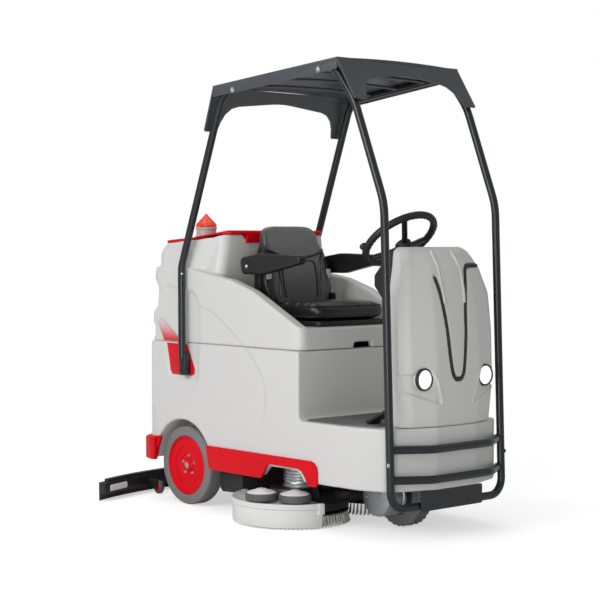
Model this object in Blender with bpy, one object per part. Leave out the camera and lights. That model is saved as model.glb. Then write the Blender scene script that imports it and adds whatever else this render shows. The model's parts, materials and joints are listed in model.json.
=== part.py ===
"""Ride-on floor scrubber with a driver's guard, a roof, two disc brushes and a curved squeegee.

Metres, +Z up. The machine drives towards -Y and the driver's right is -X. The origin is on the
floor, under the middle of the whole machine.
"""
from math import acos, atan2, cos, pi, radians, sin, sqrt, tan

import bmesh
import bpy
from mathutils import Matrix, Vector

# Clearances
GAP = 0.0003                # between two pieces that touch

# Lower body
BODY_HALF = 0.395
BODY_BOTTOM = 0.205
BODY_FRONT = -0.930
BODY_REAR = 0.775
STEP_TOP = 0.470
STEP_THICKNESS = 0.030
BOX_FRONT = -0.355          # front face of the seat box
SEAM_HEIGHT = 0.770
SEAM_GAP = 0.004
WALL = 0.030
RIM_INSET = 0.013

# Upper body with the recovery tank
TANK_HALF = 0.386
TANK_REAR = 0.730
TANK_FACE = 0.250           # face behind the seat
PLINTH_TOP = 0.870
SEAT_BAY_HALF = 0.328
TANK_TOP_FRONT = 1.268
TANK_TOP_REAR = 1.240
LID_THICKNESS = 0.014
LID_HUMP = 0.024              # extra height of the lid over its front lip
UPPER_HALF = 0.374            # upper tank, above the shoulder
UPPER_FRONT_HALF = 0.336
UPPER_SPREAD_Y = 0.420        # where the upper tank reaches its full width
SHOULDER_TOP = 1.130

# Wheels
REAR_AXLE_Y = 0.475
REAR_WHEEL_RADIUS = 0.187
REAR_TYRE_WIDTH = 0.090
REAR_WHEEL_OUTER = 0.373
RIM_RADIUS = 0.140
ARCH_RADIUS = 0.221
DRIVE_AXLE_Y = -0.615
DRIVE_WHEEL_RADIUS = 0.140
DRIVE_TYRE_WIDTH = 0.080
DRIVE_HUB_RADIUS = 0.085

AXLE_RADIUS = 0.015
RAIL_X = 0.200
RAIL_HEIGHT = 0.045

# Guard and roof
TUBE_RADIUS = 0.0175
TUBE_SIDES = 8
GUARD_FRONT_HALF = 0.345
GUARD_REAR_HALF = 0.410
GUARD_BOTTOM_Z = 0.136
GUARD_FRONT_Y = -0.880
ROOF_TUBE_FRONT_Z = 2.000
ROOF_TUBE_REAR_Z = 1.935
ROOF_FRONT_Y = -0.540
ROOF_REAR_Y = 0.152
ROOF_THICKNESS = 0.013
ROOF_CROWN = 0.014
ROOF_CROWN_SHARE = 0.8
ROOF_SEAT = 0.0017
BOW_HEIGHTS = (0.385, 0.258)
BOW_FRONT_Y = -0.960
BOW_KINK_HALF = 0.180
FOOT_BOTTOM_Z = 0.620
FOOT_TOP_Z = 0.725

# Driver's place
SEAT_HALF = 0.235
SEAT_FRONT = -0.305
SEAT_PAN_THICKNESS = 0.024
CUSHION_THICKNESS = 0.085
BACK_FRONT_Y = 0.035
BACK_THICKNESS = 0.085
BACK_TOP_Z = 1.320
BACK_HALF = 0.220
HEAD_HALF = 0.184
ARM_HALF_WIDTH = 0.022
ARM_LENGTH = 0.415
ARM_PIVOT_Z = 1.136
WHEEL_CENTRE = (0.0, -0.585, 1.262)
WHEEL_TILT = radians(39.0)
WHEEL_RADIUS = 0.169
WHEEL_RIM_RADIUS = 0.0135
COLUMN_RADIUS = 0.026
COLUMN_LENGTH = 0.278
CONSOLE_TOP = 1.228
CONSOLE_FRONT = -0.945
CONSOLE_BACK = -0.800

# Brush deck
BRUSH_X = 0.265
BRUSH_Y = -0.180
BRUSH_RADIUS = 0.254
BRISTLE_LENGTH = 0.050
FENDER_RADIUS = 0.275
FENDER_TOP = 0.112
FENDER_BOTTOM = 0.022
FENDER_WALL = 0.005
ROLLER_RADIUS = 0.072
ROLLER_PITCH = 0.218
LINK_LENGTH = 0.200
LINK_HALF = 0.016

# Squeegee
SQUEEGEE_HALF = 0.625
SQUEEGEE_REAR = 0.9775
SQUEEGEE_BOW = 0.140
SQUEEGEE_DEPTH = 0.055
SQUEEGEE_TOP = 0.100
BLADE_THICKNESS = 0.004
CASTER_RADIUS = 0.032
SQUEEGEE_ARM_HALF = 0.090

# Derived and local sizes
DECK_ROOM_TOP = 0.395
DECK_ROOM_REAR = 0.170
BATTERY_BAY_HALF = 0.310
BATTERY_FRONT = BOX_FRONT + 0.045
BATTERY_REAR = 0.230
BATTERY_FLOOR = DECK_ROOM_TOP + 0.030
REAR_BAY_HALF = 0.150
REAR_BAY_FRONT = 0.300
REAR_BAY_REAR = BODY_REAR - 0.060
REAR_BAY_FLOOR = 0.330
ARCH_DEPTH = 0.355
FOOT_Y = 0.453
FOOT_RECESS = 0.372
FOOT_ROOM = 0.085
PIN_RADIUS = 0.007
HINGE_HALF = 0.308
HINGE_FIXED = (-0.288, 0.0, 0.288)
HINGE_MOVING = (-0.250, -0.040, 0.250)
HINGE_Y = BODY_REAR + 0.0135
HINGE_Z = SEAM_HEIGHT + SEAM_GAP / 2
LAMP_X = 0.188
LAMP_Y = -0.920
LAMP_Z = 0.674
LAMP_RADIUS = 0.041
LAMP_BACK = 0.035
DASH_EDGE_Y = -0.610
DASH_EDGE_Z = 1.105
DASH_START_Y = CONSOLE_BACK + 0.080 + GAP
DASH_START_Z = CONSOLE_TOP - 0.006
DASH_SLOPE = atan2(DASH_START_Z - DASH_EDGE_Z, DASH_EDGE_Y - DASH_START_Y)
DASH_NORMAL = (0.0, sin(DASH_SLOPE), cos(DASH_SLOPE))
KEY_X = 0.125
HUB_DEPTH = 0.030
KNOB_ANGLE = 153.0
ROOF_EDGE_FRONT = -0.580
ROOF_EDGE_REAR = 0.190
ROOF_HALF_FRONT = 0.374
ROOF_HALF_REAR = 0.432
ROOF_FLANGE = 0.004
ROOF_FLANGE_DROP = 0.046
ROOF_FRONT_SKIRT_Y = -0.694
ROOF_REAR_SKIRT_Y = 0.258
TANK_WALL = 0.040
POCKET_FLOOR = 0.900
GRIP_HALF = 0.055
LID_FRONT = TANK_FACE - 0.012
LID_REAR = TANK_REAR - 0.015
LID_HALF = UPPER_HALF - 0.010
LID_FRONT_HALF = 0.290
BEACON_PLACE = (-0.190, 0.545)
BEACON_BASE_HEIGHT = 0.042
BACK_LEAN = 0.220
BACK_HINGE_Z = PLINTH_TOP + 0.122
ARM_GAP = 0.012
ARM_X = BACK_HALF + ARM_GAP + ARM_HALF_WIDTH
ARM_PIVOT_Y = BACK_FRONT_Y + 0.105
FORK_HALF = DRIVE_TYRE_WIDTH / 2 + 0.012
FORK_TOP = 0.372
DECK_TOP = FENDER_TOP - 0.006
DECK_LOW = 0.068
LINK_SEAT_GAP = 0.0008
FENDER_START = -78.0
FENDER_END = 76.0
ROLLER_ANGLES = (8.0, 50.0)
LINK_PIVOT_Y = BRUSH_Y + 0.080 + LINK_LENGTH
LINK_PIVOT_Z = 0.185
DECK_LUG_TOP = LINK_PIVOT_Z - 0.021 - LINK_SEAT_GAP
ARM_PIVOT = (0.0, 0.640, 0.148)
SWING_Y = 0.800
CASTER_X = 0.270
CASTER_Y = SQUEEGEE_REAR - SQUEEGEE_BOW * (CASTER_X / SQUEEGEE_HALF) ** 2 - SQUEEGEE_DEPTH - 0.070
SWING_TOP = 0.120
PEDAL_Y = -0.690
PEDAL_X = -0.262
PEDAL_REST = radians(27.0)
PEDAL_LENGTH = 0.115
PEDAL_HALF = 0.036
BACK_HINGE_Y = BACK_FRONT_Y + 0.035
BACK_BASE_HALF = 0.190
BACK_BASE_THICKNESS = 0.062

FINISHES = {
    "grey_moulding": ((0.64, 0.64, 0.64), 0.42, 0.0),
    "red_moulding": ((0.74, 0.004, 0.016), 0.35, 0.0),
    "guard_paint": ((0.023, 0.028, 0.033), 0.38, 0.0),
    "roof_plastic": ((0.020, 0.024, 0.028), 0.50, 0.0),
    "black_plastic": ((0.014, 0.014, 0.015), 0.48, 0.0),
    "seat_vinyl": ((0.018, 0.018, 0.019), 0.45, 0.0),
    "steel": ((0.55, 0.56, 0.57), 0.32, 1.0),
    "aluminium": ((0.62, 0.63, 0.64), 0.38, 1.0),
    "frame_paint": ((0.030, 0.031, 0.033), 0.45, 0.0),
    "tyre": ((0.170, 0.176, 0.176), 0.80, 0.0),
    "rubber": ((0.055, 0.055, 0.056), 0.75, 0.0),
    "skirt_plastic": ((0.56, 0.56, 0.55), 0.55, 0.0),
    "bristle": ((0.035, 0.034, 0.033), 0.70, 0.0),
    "lamp_glass": ((0.85, 0.87, 0.88), 0.06, 0.0),
    "beacon_orange": ((0.90, 0.12, 0.01), 0.12, 0.0),
    "battery_case": ((0.030, 0.030, 0.034), 0.55, 0.0),
    "switch_red": ((0.65, 0.010, 0.012), 0.30, 0.0),
}


def clear_scene():
    for thing in list(bpy.data.objects):
        bpy.data.objects.remove(thing, do_unlink=True)


def finish_material(name):
    material = bpy.data.materials.get(name)
    if material is None:
        colour, roughness, metallic = FINISHES[name]
        material = bpy.data.materials.new(name)
        material.use_nodes = True
        shader = material.node_tree.nodes["Principled BSDF"]
        shader.inputs["Base Color"].default_value = (*colour, 1.0)
        shader.inputs["Roughness"].default_value = roughness
        shader.inputs["Metallic"].default_value = metallic
        material.diffuse_color = (*colour, 1.0)
    return material


def pivot(name, place, parent=None):
    """Empty on a joint's axis, which carries what moves about it."""
    empty = bpy.data.objects.new(name, None)
    empty.empty_display_size = 0.05
    bpy.context.collection.objects.link(empty)
    empty.location = place
    if parent is not None:
        empty.parent = parent
        empty.location = Vector(place) - world_place(parent)
    return empty


def world_place(thing):
    place = Vector((0.0, 0.0, 0.0))
    while thing is not None:
        place += thing.location
        thing = thing.parent
    return place


def solid(name, shape, finish, parent, smooth=True):
    """Turn a bmesh in world coordinates into a named object under its pivot."""
    bmesh.ops.remove_doubles(shape, verts=shape.verts, dist=0.00002)
    bmesh.ops.recalc_face_normals(shape, faces=shape.faces)
    origin = world_place(parent)
    bmesh.ops.translate(shape, verts=shape.verts, vec=-origin)
    mesh = bpy.data.meshes.new(name)
    shape.to_mesh(mesh)
    shape.free()
    mesh.materials.append(finish_material(finish))
    if smooth:
        mesh.shade_smooth()
        mesh.set_sharp_from_angle(angle=radians(32))
    thing = bpy.data.objects.new(name, mesh)
    bpy.context.collection.objects.link(thing)
    thing.parent = parent
    return thing


def combine(thing, shape, operation):
    """Boolean of a bmesh in world coordinates on a solid, through a hidden cutter."""
    tool = solid(f"{thing.name}_{operation.lower()}_{len(thing.modifiers)}", shape, "steel",
                 thing.parent, smooth=False)
    tool.hide_render = True
    tool.display_type = "WIRE"
    modifier = thing.modifiers.new(tool.name, "BOOLEAN")
    modifier.operation = operation
    modifier.solver = "EXACT"
    modifier.object = tool
    return thing


def cut(thing, shape):
    return combine(thing, shape, "DIFFERENCE")


def join(thing, shape):
    return combine(thing, shape, "UNION")


def rounded(corners, steps=4):
    """Closed outline through (u, v, radius) corners, each turned with an arc."""
    outline = []
    for index, (u, v, radius) in enumerate(corners):
        corner = Vector((u, v))
        if radius <= 0.0:
            outline.append(corner)
            continue
        back = (Vector(corners[index - 1][:2]) - corner).normalized()
        ahead = (Vector(corners[(index + 1) % len(corners)][:2]) - corner).normalized()
        half = acos(max(-1.0, min(1.0, back.dot(ahead)))) / 2.0
        centre = corner + (back + ahead).normalized() * radius / sin(half)
        first = corner + back * radius / tan(half) - centre
        last = corner + ahead * radius / tan(half) - centre
        turn = first.angle_signed(last)
        for step in range(steps + 1):
            spun = first.copy()
            spun.rotate(Matrix.Rotation(-turn * step / steps, 2))
            outline.append(centre + spun)
    return outline


def mirrored(half):
    """Whole outline from its +u half, listed from the lowest v to the highest."""
    return list(half) + [(-u, v, r) for u, v, r in reversed(half) if abs(u) > 1e-6]


def prism(outline, axis, low, high):
    """Extrude an outline along X, Y or Z; its (u, v) are the other two axes in order."""
    shape = bmesh.new()
    others = [i for i in range(3) if i != "XYZ".index(axis)]
    ring = []
    for u, v in outline:
        place = [low, low, low]
        place[others[0]] = u
        place[others[1]] = v
        ring.append(shape.verts.new(place))
    face = shape.faces.new(ring)
    grown = bmesh.ops.extrude_face_region(shape, geom=[face])
    moved = [item for item in grown["geom"] if isinstance(item, bmesh.types.BMVert)]
    shift = [0.0, 0.0, 0.0]
    shift["XYZ".index(axis)] = high - low
    bmesh.ops.translate(shape, verts=moved, vec=shift)
    bmesh.ops.recalc_face_normals(shape, faces=shape.faces)
    return shape


def box(low, high):
    """Rectangular block between two corners."""
    outline = [(low[0], low[1]), (high[0], low[1]), (high[0], high[1]), (low[0], high[1])]
    return prism(outline, "Z", low[2], high[2])


def soft_box(low, high, radius, axis="Z", steps=3):
    """Block whose edges along one axis are rounded."""
    a, b = [i for i in range(3) if i != "XYZ".index(axis)]
    corners = [(low[a], low[b], radius), (high[a], low[b], radius),
               (high[a], high[b], radius), (low[a], high[b], radius)]
    k = "XYZ".index(axis)
    return prism(rounded(corners, steps), axis, low[k], high[k])


def axis_turn(axis):
    """Rotation that takes +Z onto an axis."""
    return Vector((0.0, 0.0, 1.0)).rotation_difference(Vector(axis).normalized()).to_matrix().to_4x4()


def turned(profile, centre, axis=(0.0, 0.0, 1.0), sides=24):
    """Lathe a closed (radius, height) profile about an axis; radius 0 makes a solid."""
    shape = bmesh.new()
    rings = []
    for radius, height in profile:
        if radius < 1e-6:
            rings.append([shape.verts.new((0.0, 0.0, height))])
            continue
        rings.append([shape.verts.new((radius * cos(2 * pi * i / sides),
                                       radius * sin(2 * pi * i / sides), height))
                      for i in range(sides)])
    closed = profile[0][0] > 1e-6
    spans = len(rings) if closed else len(rings) - 1
    for index in range(spans):
        bridge(shape, rings[index], rings[(index + 1) % len(rings)], sides)
    bmesh.ops.transform(shape, matrix=Matrix.Translation(centre) @ axis_turn(axis), verts=shape.verts)
    bmesh.ops.recalc_face_normals(shape, faces=shape.faces)
    return shape


def bridge(shape, first, second, sides):
    """Faces between two rings of a lathe, either of which may be a single pole."""
    for i in range(sides):
        j = (i + 1) % sides
        corners = [first[i % len(first)], first[j % len(first)],
                   second[j % len(second)], second[i % len(second)]]
        unique = list(dict.fromkeys(corners))
        if len(unique) > 2:
            shape.faces.new(unique)


def bent_line(corners, steps=3):
    """Points of a tube's centre line: (x, y, z, bend radius) corners turned with arcs."""
    line = [Vector(corners[0][:3])]
    for index in range(1, len(corners) - 1):
        corner = Vector(corners[index][:3])
        radius = corners[index][3]
        back = (Vector(corners[index - 1][:3]) - corner).normalized()
        ahead = (Vector(corners[index + 1][:3]) - corner).normalized()
        half = back.angle(ahead) / 2.0
        centre = corner + (back + ahead).normalized() * radius / sin(half)
        first = corner + back * radius / tan(half) - centre
        last = corner + ahead * radius / tan(half) - centre
        sweep = first.angle(last)
        for step in range(steps + 1):
            part = sweep * step / steps
            line.append(centre + (first * sin(sweep - part) + last * sin(part)) / sin(sweep))
    line.append(Vector(corners[-1][:3]))
    return line


def tube(line, radius, sides=8, closed=False):
    """Round bar along a line, with flat ends square to it."""
    shape = bmesh.new()
    rings = []
    count = len(line)
    previous = None
    for index, point in enumerate(line):
        before = line[(index - 1) % count] if closed or index else point
        after = line[(index + 1) % count] if closed or index < count - 1 else point
        ahead = (after - before).normalized()
        if previous is None:
            previous = ahead.orthogonal().normalized()
        across = (previous - ahead * previous.dot(ahead)).normalized()
        previous = across
        other = ahead.cross(across)
        rings.append([shape.verts.new(point + radius * (cos(2 * pi * i / sides) * across
                                                        + sin(2 * pi * i / sides) * other))
                      for i in range(sides)])
    last = count if closed else count - 1
    for index in range(last):
        bridge(shape, rings[index], rings[(index + 1) % count], sides)
    if not closed:
        shape.faces.new(rings[0])
        shape.faces.new(list(reversed(rings[-1])))
    bmesh.ops.recalc_face_normals(shape, faces=shape.faces)
    return shape


def loft(sections):
    """Skin through closed sections of equal length, capped at both ends."""
    shape = bmesh.new()
    rings = [[shape.verts.new(point) for point in section] for section in sections]
    sides = len(rings[0])
    for index in range(len(rings) - 1):
        bridge(shape, rings[index], rings[index + 1], sides)
    shape.faces.new(rings[0])
    shape.faces.new(list(reversed(rings[-1])))
    bmesh.ops.recalc_face_normals(shape, faces=shape.faces)
    return shape


# ---------------------------------------------------------------- lower body

def body_outline():
    """Plan of the lower body: square tail with round corners, nose narrowing to the front bars."""
    return mirrored([
        (0.120, BODY_FRONT, 0.05),
        (0.290, BODY_FRONT + 0.055, 0.05),
        (GUARD_FRONT_HALF, BODY_FRONT + 0.095, 0.03),
        (BODY_HALF - 0.010, BODY_FRONT + 0.210, 0.10),
        (BODY_HALF, BODY_FRONT + 0.420, 0.30),
        (BODY_HALF, BODY_REAR, 0.090),
    ])


def lower_body(root):
    side = rounded([
        (BODY_FRONT - 0.02, BODY_BOTTOM, 0.0), (BODY_FRONT - 0.02, STEP_TOP, 0.0),
        (BOX_FRONT, STEP_TOP, 0.02), (BOX_FRONT, SEAM_HEIGHT, 0.0),
        (BODY_REAR + 0.02, SEAM_HEIGHT, 0.0), (BODY_REAR + 0.02, BODY_BOTTOM, 0.0)])
    body = solid("lower_body", prism(side, "X", -0.5, 0.5), "grey_moulding", root)
    combine(body, prism(rounded(body_outline()), "Z", 0.1, 1.0), "INTERSECT")
    rim = mirrored([(BODY_HALF - RIM_INSET, BOX_FRONT + RIM_INSET, 0.03),
                    (BODY_HALF - RIM_INSET, BODY_REAR - RIM_INSET, 0.080)])
    join(body, prism(rounded(rim), "Z", SEAM_HEIGHT - 0.010, SEAM_HEIGHT + SEAM_GAP - GAP))
    nose = box((-0.290, BODY_FRONT + 0.110, 0.0), (0.290, BOX_FRONT + 0.10, STEP_TOP - STEP_THICKNESS))
    cut(body, nose)
    deck_room = box((WALL - BODY_HALF, BOX_FRONT - 0.10, 0.0),
                    (BODY_HALF - WALL, DECK_ROOM_REAR, DECK_ROOM_TOP))
    cut(body, deck_room)
    cut(body, soft_box((-BATTERY_BAY_HALF, BATTERY_FRONT, BATTERY_FLOOR),
                       (BATTERY_BAY_HALF, BATTERY_REAR, 1.0), 0.02))
    cut(body, soft_box((-REAR_BAY_HALF, REAR_BAY_FRONT, REAR_BAY_FLOOR),
                       (REAR_BAY_HALF, REAR_BAY_REAR, 1.0), 0.02))
    for side_sign in (-1, 1):
        wheel_middle = side_sign * (BODY_HALF + 0.2)
        arch = turned([(0.0, 0.0), (ARCH_RADIUS, 0.0), (ARCH_RADIUS, ARCH_DEPTH), (0.0, ARCH_DEPTH)],
                      (wheel_middle, REAR_AXLE_Y, REAR_WHEEL_RADIUS), (-side_sign, 0.0, 0.0), 32)
        cut(body, arch)
        recess = box((min(side_sign * FOOT_RECESS, side_sign), FOOT_Y - FOOT_ROOM, FOOT_BOTTOM_Z - 0.015),
                     (max(side_sign * FOOT_RECESS, side_sign), FOOT_Y + FOOT_ROOM, 1.0))
        cut(body, recess)
    return body


def floor_mat(root):
    margin = 0.030
    outline = mirrored([
        (0.100, CONSOLE_BACK + 0.10, 0.01),
        (0.320, CONSOLE_BACK + 0.02, 0.03),
        (BODY_HALF - margin, CONSOLE_BACK + 0.20, 0.03),
        (BODY_HALF - margin, BOX_FRONT - 0.022, 0.01),
    ])
    mat = prism(rounded(outline, 3), "Z", STEP_TOP + GAP, STEP_TOP + 0.006)
    return solid("floor_mat", mat, "rubber", root)


def side_skirt(root, name, side):
    """Red skirt: full height in front of the arch, cut away over the brush deck."""
    top = 0.303
    low = 0.193
    front = -0.487
    rear = REAR_AXLE_Y - sqrt(ARCH_RADIUS ** 2 - (top - REAR_WHEEL_RADIUS) ** 2) - 0.004
    relief = 0.262
    outline = rounded([
        (front, low, 0.012), (front, top, 0.045), (rear, top, 0.008), (rear - 0.026, low, 0.010),
        (-0.120, low, 0.035), (-0.160, relief, 0.035), (-0.385, relief, 0.060), (-0.432, low, 0.02)], 3)
    inner = side * (BODY_HALF + GAP)
    outer = side * (BODY_HALF + 0.011)
    return solid(name, prism(outline, "X", min(inner, outer), max(inner, outer)), "red_moulding", root)


def rear_bumper(root):
    """Red bumper that wraps the tail below the seam of the wheel arches."""
    thick = 0.024
    front = REAR_AXLE_Y + sqrt(ARCH_RADIUS ** 2 - (0.308 - REAR_WHEEL_RADIUS) ** 2) + 0.006
    outer = mirrored([(BODY_HALF + thick, front, 0.0), (BODY_HALF + thick, BODY_REAR + thick, 0.110)])
    bumper = solid("rear_bumper", prism(rounded(outer), "Z", 0.198, 0.308), "red_moulding", root)
    inner = mirrored([(BODY_HALF + GAP, front - 0.1, 0.0), (BODY_HALF + GAP, BODY_REAR + GAP, 0.090)])
    return cut(bumper, prism(rounded(inner), "Z", 0.0, 1.0))


def chassis_frame(root):
    """Steel under-frame: two rails bored for the axle, cross members and lugs for the pivots."""
    top = BODY_BOTTOM - GAP
    low = top - RAIL_HEIGHT
    half = 0.018
    front = DECK_ROOM_REAR + 0.005
    rear = BODY_REAR - 0.060
    frame = solid("chassis_frame", box((-RAIL_X - half, front, low), (RAIL_X + half, front + 0.040, top)),
                  "frame_paint", root, False)
    for side in (-1, 1):
        x = side * RAIL_X
        join(frame, box((x - half, front + 0.005, low + 0.001), (x + half, rear, top - 0.001)))
    join(frame, box((-RAIL_X - 0.010, rear - 0.040, low + 0.002),
                    (RAIL_X + 0.010, rear - 0.002, top - 0.002)))
    for side in (-1, 1):
        join(frame, lug(side, LINK_HALF, LINK_PIVOT_Y - 0.015, front + 0.010,
                        LINK_PIVOT_Z - 0.018, top - 0.003))
        join(frame, lug(side, SQUEEGEE_ARM_HALF, ARM_PIVOT[1] - 0.020, rear - 0.010, ARM_PIVOT[2] - 0.022,
                        top - 0.004))
    axle_hole = turned([(0.0, -0.4), (AXLE_RADIUS + GAP, -0.4), (AXLE_RADIUS + GAP, 0.4), (0.0, 0.4)],
                       (0.0, REAR_AXLE_Y, REAR_WHEEL_RADIUS), (1.0, 0.0, 0.0), 16)
    return cut(frame, axle_hole)


def lug(side, inner, front, rear, low, top):
    """Plate beside a pivot, standing on the frame."""
    near = side * (inner + GAP)
    far = side * (inner + GAP + 0.014)
    return box((min(near, far), front, low), (max(near, far), rear, top))


def rear_axle(root):
    """Bar through both frame rails that carries the rear wheels."""
    half = REAR_WHEEL_OUTER - 0.004
    profile = [(0.0, -half), (AXLE_RADIUS, -half), (AXLE_RADIUS, half), (0.0, half)]
    axle = turned(profile, (0.0, REAR_AXLE_Y, REAR_WHEEL_RADIUS), (1.0, 0.0, 0.0), 16)
    return solid("rear_axle", axle, "steel", root)


def battery_pack(root):
    """Row of traction cells in one tray, with lids and terminal posts on top."""
    clear = 0.006
    low = (-BATTERY_BAY_HALF + clear, BATTERY_FRONT + clear, BATTERY_FLOOR + GAP)
    high = (BATTERY_BAY_HALF - clear, BATTERY_REAR - clear, BATTERY_FLOOR + 0.260)
    pack = solid("battery_pack", soft_box(low, high, 0.015), "battery_case", root)
    columns = 3
    rows = 2
    width = (high[0] - low[0]) / columns
    depth = (high[1] - low[1]) / rows
    for column in range(columns):
        for row in range(rows):
            x = low[0] + width * (column + 0.5)
            y = low[1] + depth * (row + 0.5)
            join(pack, box((x - width * 0.40, y - depth * 0.40, high[2] - 0.01),
                           (x + width * 0.40, y + depth * 0.40, high[2] + 0.012)))
    return pack


def vacuum_motor(root):
    """Suction turbine standing in the rear bay."""
    y = (REAR_BAY_FRONT + REAR_BAY_REAR) / 2
    base = REAR_BAY_FLOOR + GAP
    profile = [(0.0, base), (0.088, base), (0.088, base + 0.075), (0.060, base + 0.090),
               (0.060, base + 0.190), (0.025, base + 0.205), (0.0, base + 0.205)]
    return solid("vacuum_motor", turned(profile, (0.0, y, 0.0), sides=20), "aluminium", root)


def rear_hinge(root):
    """Pin and knuckles on which the upper body tips back."""
    bar = turned([(0.0, -HINGE_HALF), (PIN_RADIUS, -HINGE_HALF), (PIN_RADIUS, HINGE_HALF),
                  (0.0, HINGE_HALF)],
                 (0.0, HINGE_Y, HINGE_Z), (1.0, 0.0, 0.0), 12)
    hinge = solid("rear_hinge", bar, "black_plastic", root)
    for x in HINGE_FIXED:
        join(hinge, box((x - 0.018, BODY_REAR + GAP, HINGE_Z - 0.070),
                        (x + 0.018, BODY_REAR + 0.007, HINGE_Z)))
        join(hinge, turned([(0.0, -0.018), (0.012, -0.018), (0.012, 0.018), (0.0, 0.018)],
                           (x, HINGE_Y, HINGE_Z), (1.0, 0.0, 0.0), 12))
    return hinge


# ------------------------------------------------------------------ console

def console_section(height, half, front, back, nose):
    """Plan of the console at one height: flat back, flat nose and slanting cheeks."""
    cheek = front + nose
    return [Vector((x, y, height)) for x, y in (
        (-half, back), (-half, cheek), (-half * 0.86, cheek - nose * 0.45), (-half * 0.45, front + 0.004),
        (0.0, front), (half * 0.45, front + 0.004), (half * 0.86, cheek - nose * 0.45), (half, cheek),
        (half, back), (half * 0.5, back), (0.0, back), (-half * 0.5, back))]


def console_shell(root):
    base = STEP_TOP + GAP
    sections = [
        console_section(base, 0.275, CONSOLE_FRONT + 0.012, CONSOLE_BACK, 0.070),
        console_section(base + 0.18, 0.290, CONSOLE_FRONT, CONSOLE_BACK, 0.075),
        console_section(base + 0.40, 0.290, CONSOLE_FRONT + 0.012, CONSOLE_BACK, 0.070),
        console_section(1.030, 0.282, CONSOLE_FRONT + 0.035, CONSOLE_BACK + 0.005, 0.060),
        console_section(1.140, 0.245, CONSOLE_FRONT + 0.062, CONSOLE_BACK + 0.025, 0.055),
        console_section(CONSOLE_TOP - 0.018, 0.212, CONSOLE_FRONT + 0.110, CONSOLE_BACK + 0.050, 0.045),
        console_section(CONSOLE_TOP, 0.190, CONSOLE_FRONT + 0.145, CONSOLE_BACK + 0.050, 0.030),
    ]
    shell = solid("console_shell", loft(sections), "grey_moulding", root)
    for side in (-1, 1):
        pocket = turned([(0.0, -0.10), (LAMP_RADIUS + 0.002, -0.10), (LAMP_RADIUS + 0.002, LAMP_BACK),
                         (0.0, LAMP_BACK)], (side * LAMP_X, LAMP_Y, LAMP_Z), (0.0, 1.0, 0.0), 20)
        cut(shell, pocket)
    return shell


def headlight(root, name, side):
    """Round lamp: a bowl behind a domed lens, pressed into the console's pocket."""
    back = LAMP_BACK - GAP
    profile = [(0.0, -0.014), (0.016, -0.0125), (0.029, -0.007), (0.034, -0.002), (LAMP_RADIUS, -0.002),
               (LAMP_RADIUS, 0.012), (0.026, 0.016), (0.020, back), (0.0, back)]
    lens = turned(profile, (side * LAMP_X, LAMP_Y, LAMP_Z), (0.0, 1.0, 0.0), 20)
    return solid(name, lens, "lamp_glass", root)


def dash_panel(root):
    """Sloping instrument panel behind the console's top, with sockets for the controls."""
    back = CONSOLE_BACK + 0.050 + GAP
    outline = [(back, 0.960), (back, CONSOLE_TOP - 0.010), (back + 0.030, CONSOLE_TOP - 0.006),
               (DASH_EDGE_Y, DASH_EDGE_Z), (DASH_EDGE_Y, DASH_EDGE_Z - 0.045), (back + 0.050, 0.960)]
    panel = solid("dash_panel", prism(outline, "X", -0.180, 0.180), "black_plastic", root, False)
    for x, radius in ((-KEY_X, 0.0115), (KEY_X, 0.0195)):
        well = turned([(0.0, -0.014), (radius, -0.014), (radius, 0.03), (0.0, 0.03)],
                      dash_point(x), DASH_NORMAL, 16)
        cut(panel, well)
    shaft = turned([(0.0, -COLUMN_LENGTH - 0.02), (COLUMN_RADIUS + GAP, -COLUMN_LENGTH - 0.02),
                    (COLUMN_RADIUS + GAP, 0.0), (0.0, 0.0)], WHEEL_CENTRE, steering_axis(), 16)
    cut(panel, shaft)
    return panel


def dash_point(x):
    """Middle of the sloping face of the dash, at a given x."""
    return (x, (DASH_START_Y + DASH_EDGE_Y) / 2, (DASH_START_Z + DASH_EDGE_Z) / 2)


def steering_axis():
    return (0.0, sin(WHEEL_TILT), cos(WHEEL_TILT))


def steering_column(root):
    profile = [(0.0, -COLUMN_LENGTH), (COLUMN_RADIUS, -COLUMN_LENGTH), (COLUMN_RADIUS, -0.075),
               (0.019, -0.050), (0.019, -HUB_DEPTH - GAP), (0.0, -HUB_DEPTH - GAP)]
    column = turned(profile, WHEEL_CENTRE, steering_axis(), 16)
    return solid("steering_column", column, "black_plastic", root)


def steering_wheel(carrier):
    """Rim, three flat spokes and a hub."""
    axis = Vector(steering_axis())
    right = Vector((1.0, 0.0, 0.0))
    up = axis.cross(right)
    centre = Vector(WHEEL_CENTRE)
    line = [centre + WHEEL_RADIUS * (cos(2 * pi * i / 28) * right + sin(2 * pi * i / 28) * up)
            for i in range(28)]
    wheel = solid("steering_wheel", tube(line, WHEEL_RIM_RADIUS, 8, closed=True), "black_plastic", carrier)
    for angle in (radians(90), radians(210), radians(330)):
        outward = cos(angle) * right + sin(angle) * up
        join(wheel, tube([centre - axis * 0.012 + outward * 0.01,
                          centre - axis * 0.004 + outward * (WHEEL_RADIUS - 0.002)], 0.010, 8))
    hub = turned([(0.0, -HUB_DEPTH), (0.030, -HUB_DEPTH), (0.038, -0.010), (0.030, 0.006), (0.0, 0.008)],
                 WHEEL_CENTRE, steering_axis(), 20)
    return join(wheel, hub)


def knob_place():
    """Seat of the spinner knob on the rim, on the driver's right."""
    axis = Vector(steering_axis())
    right = Vector((1.0, 0.0, 0.0))
    up = axis.cross(right)
    angle = radians(KNOB_ANGLE)
    return Vector(WHEEL_CENTRE) + WHEEL_RADIUS * (cos(angle) * right + sin(angle) * up)


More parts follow.
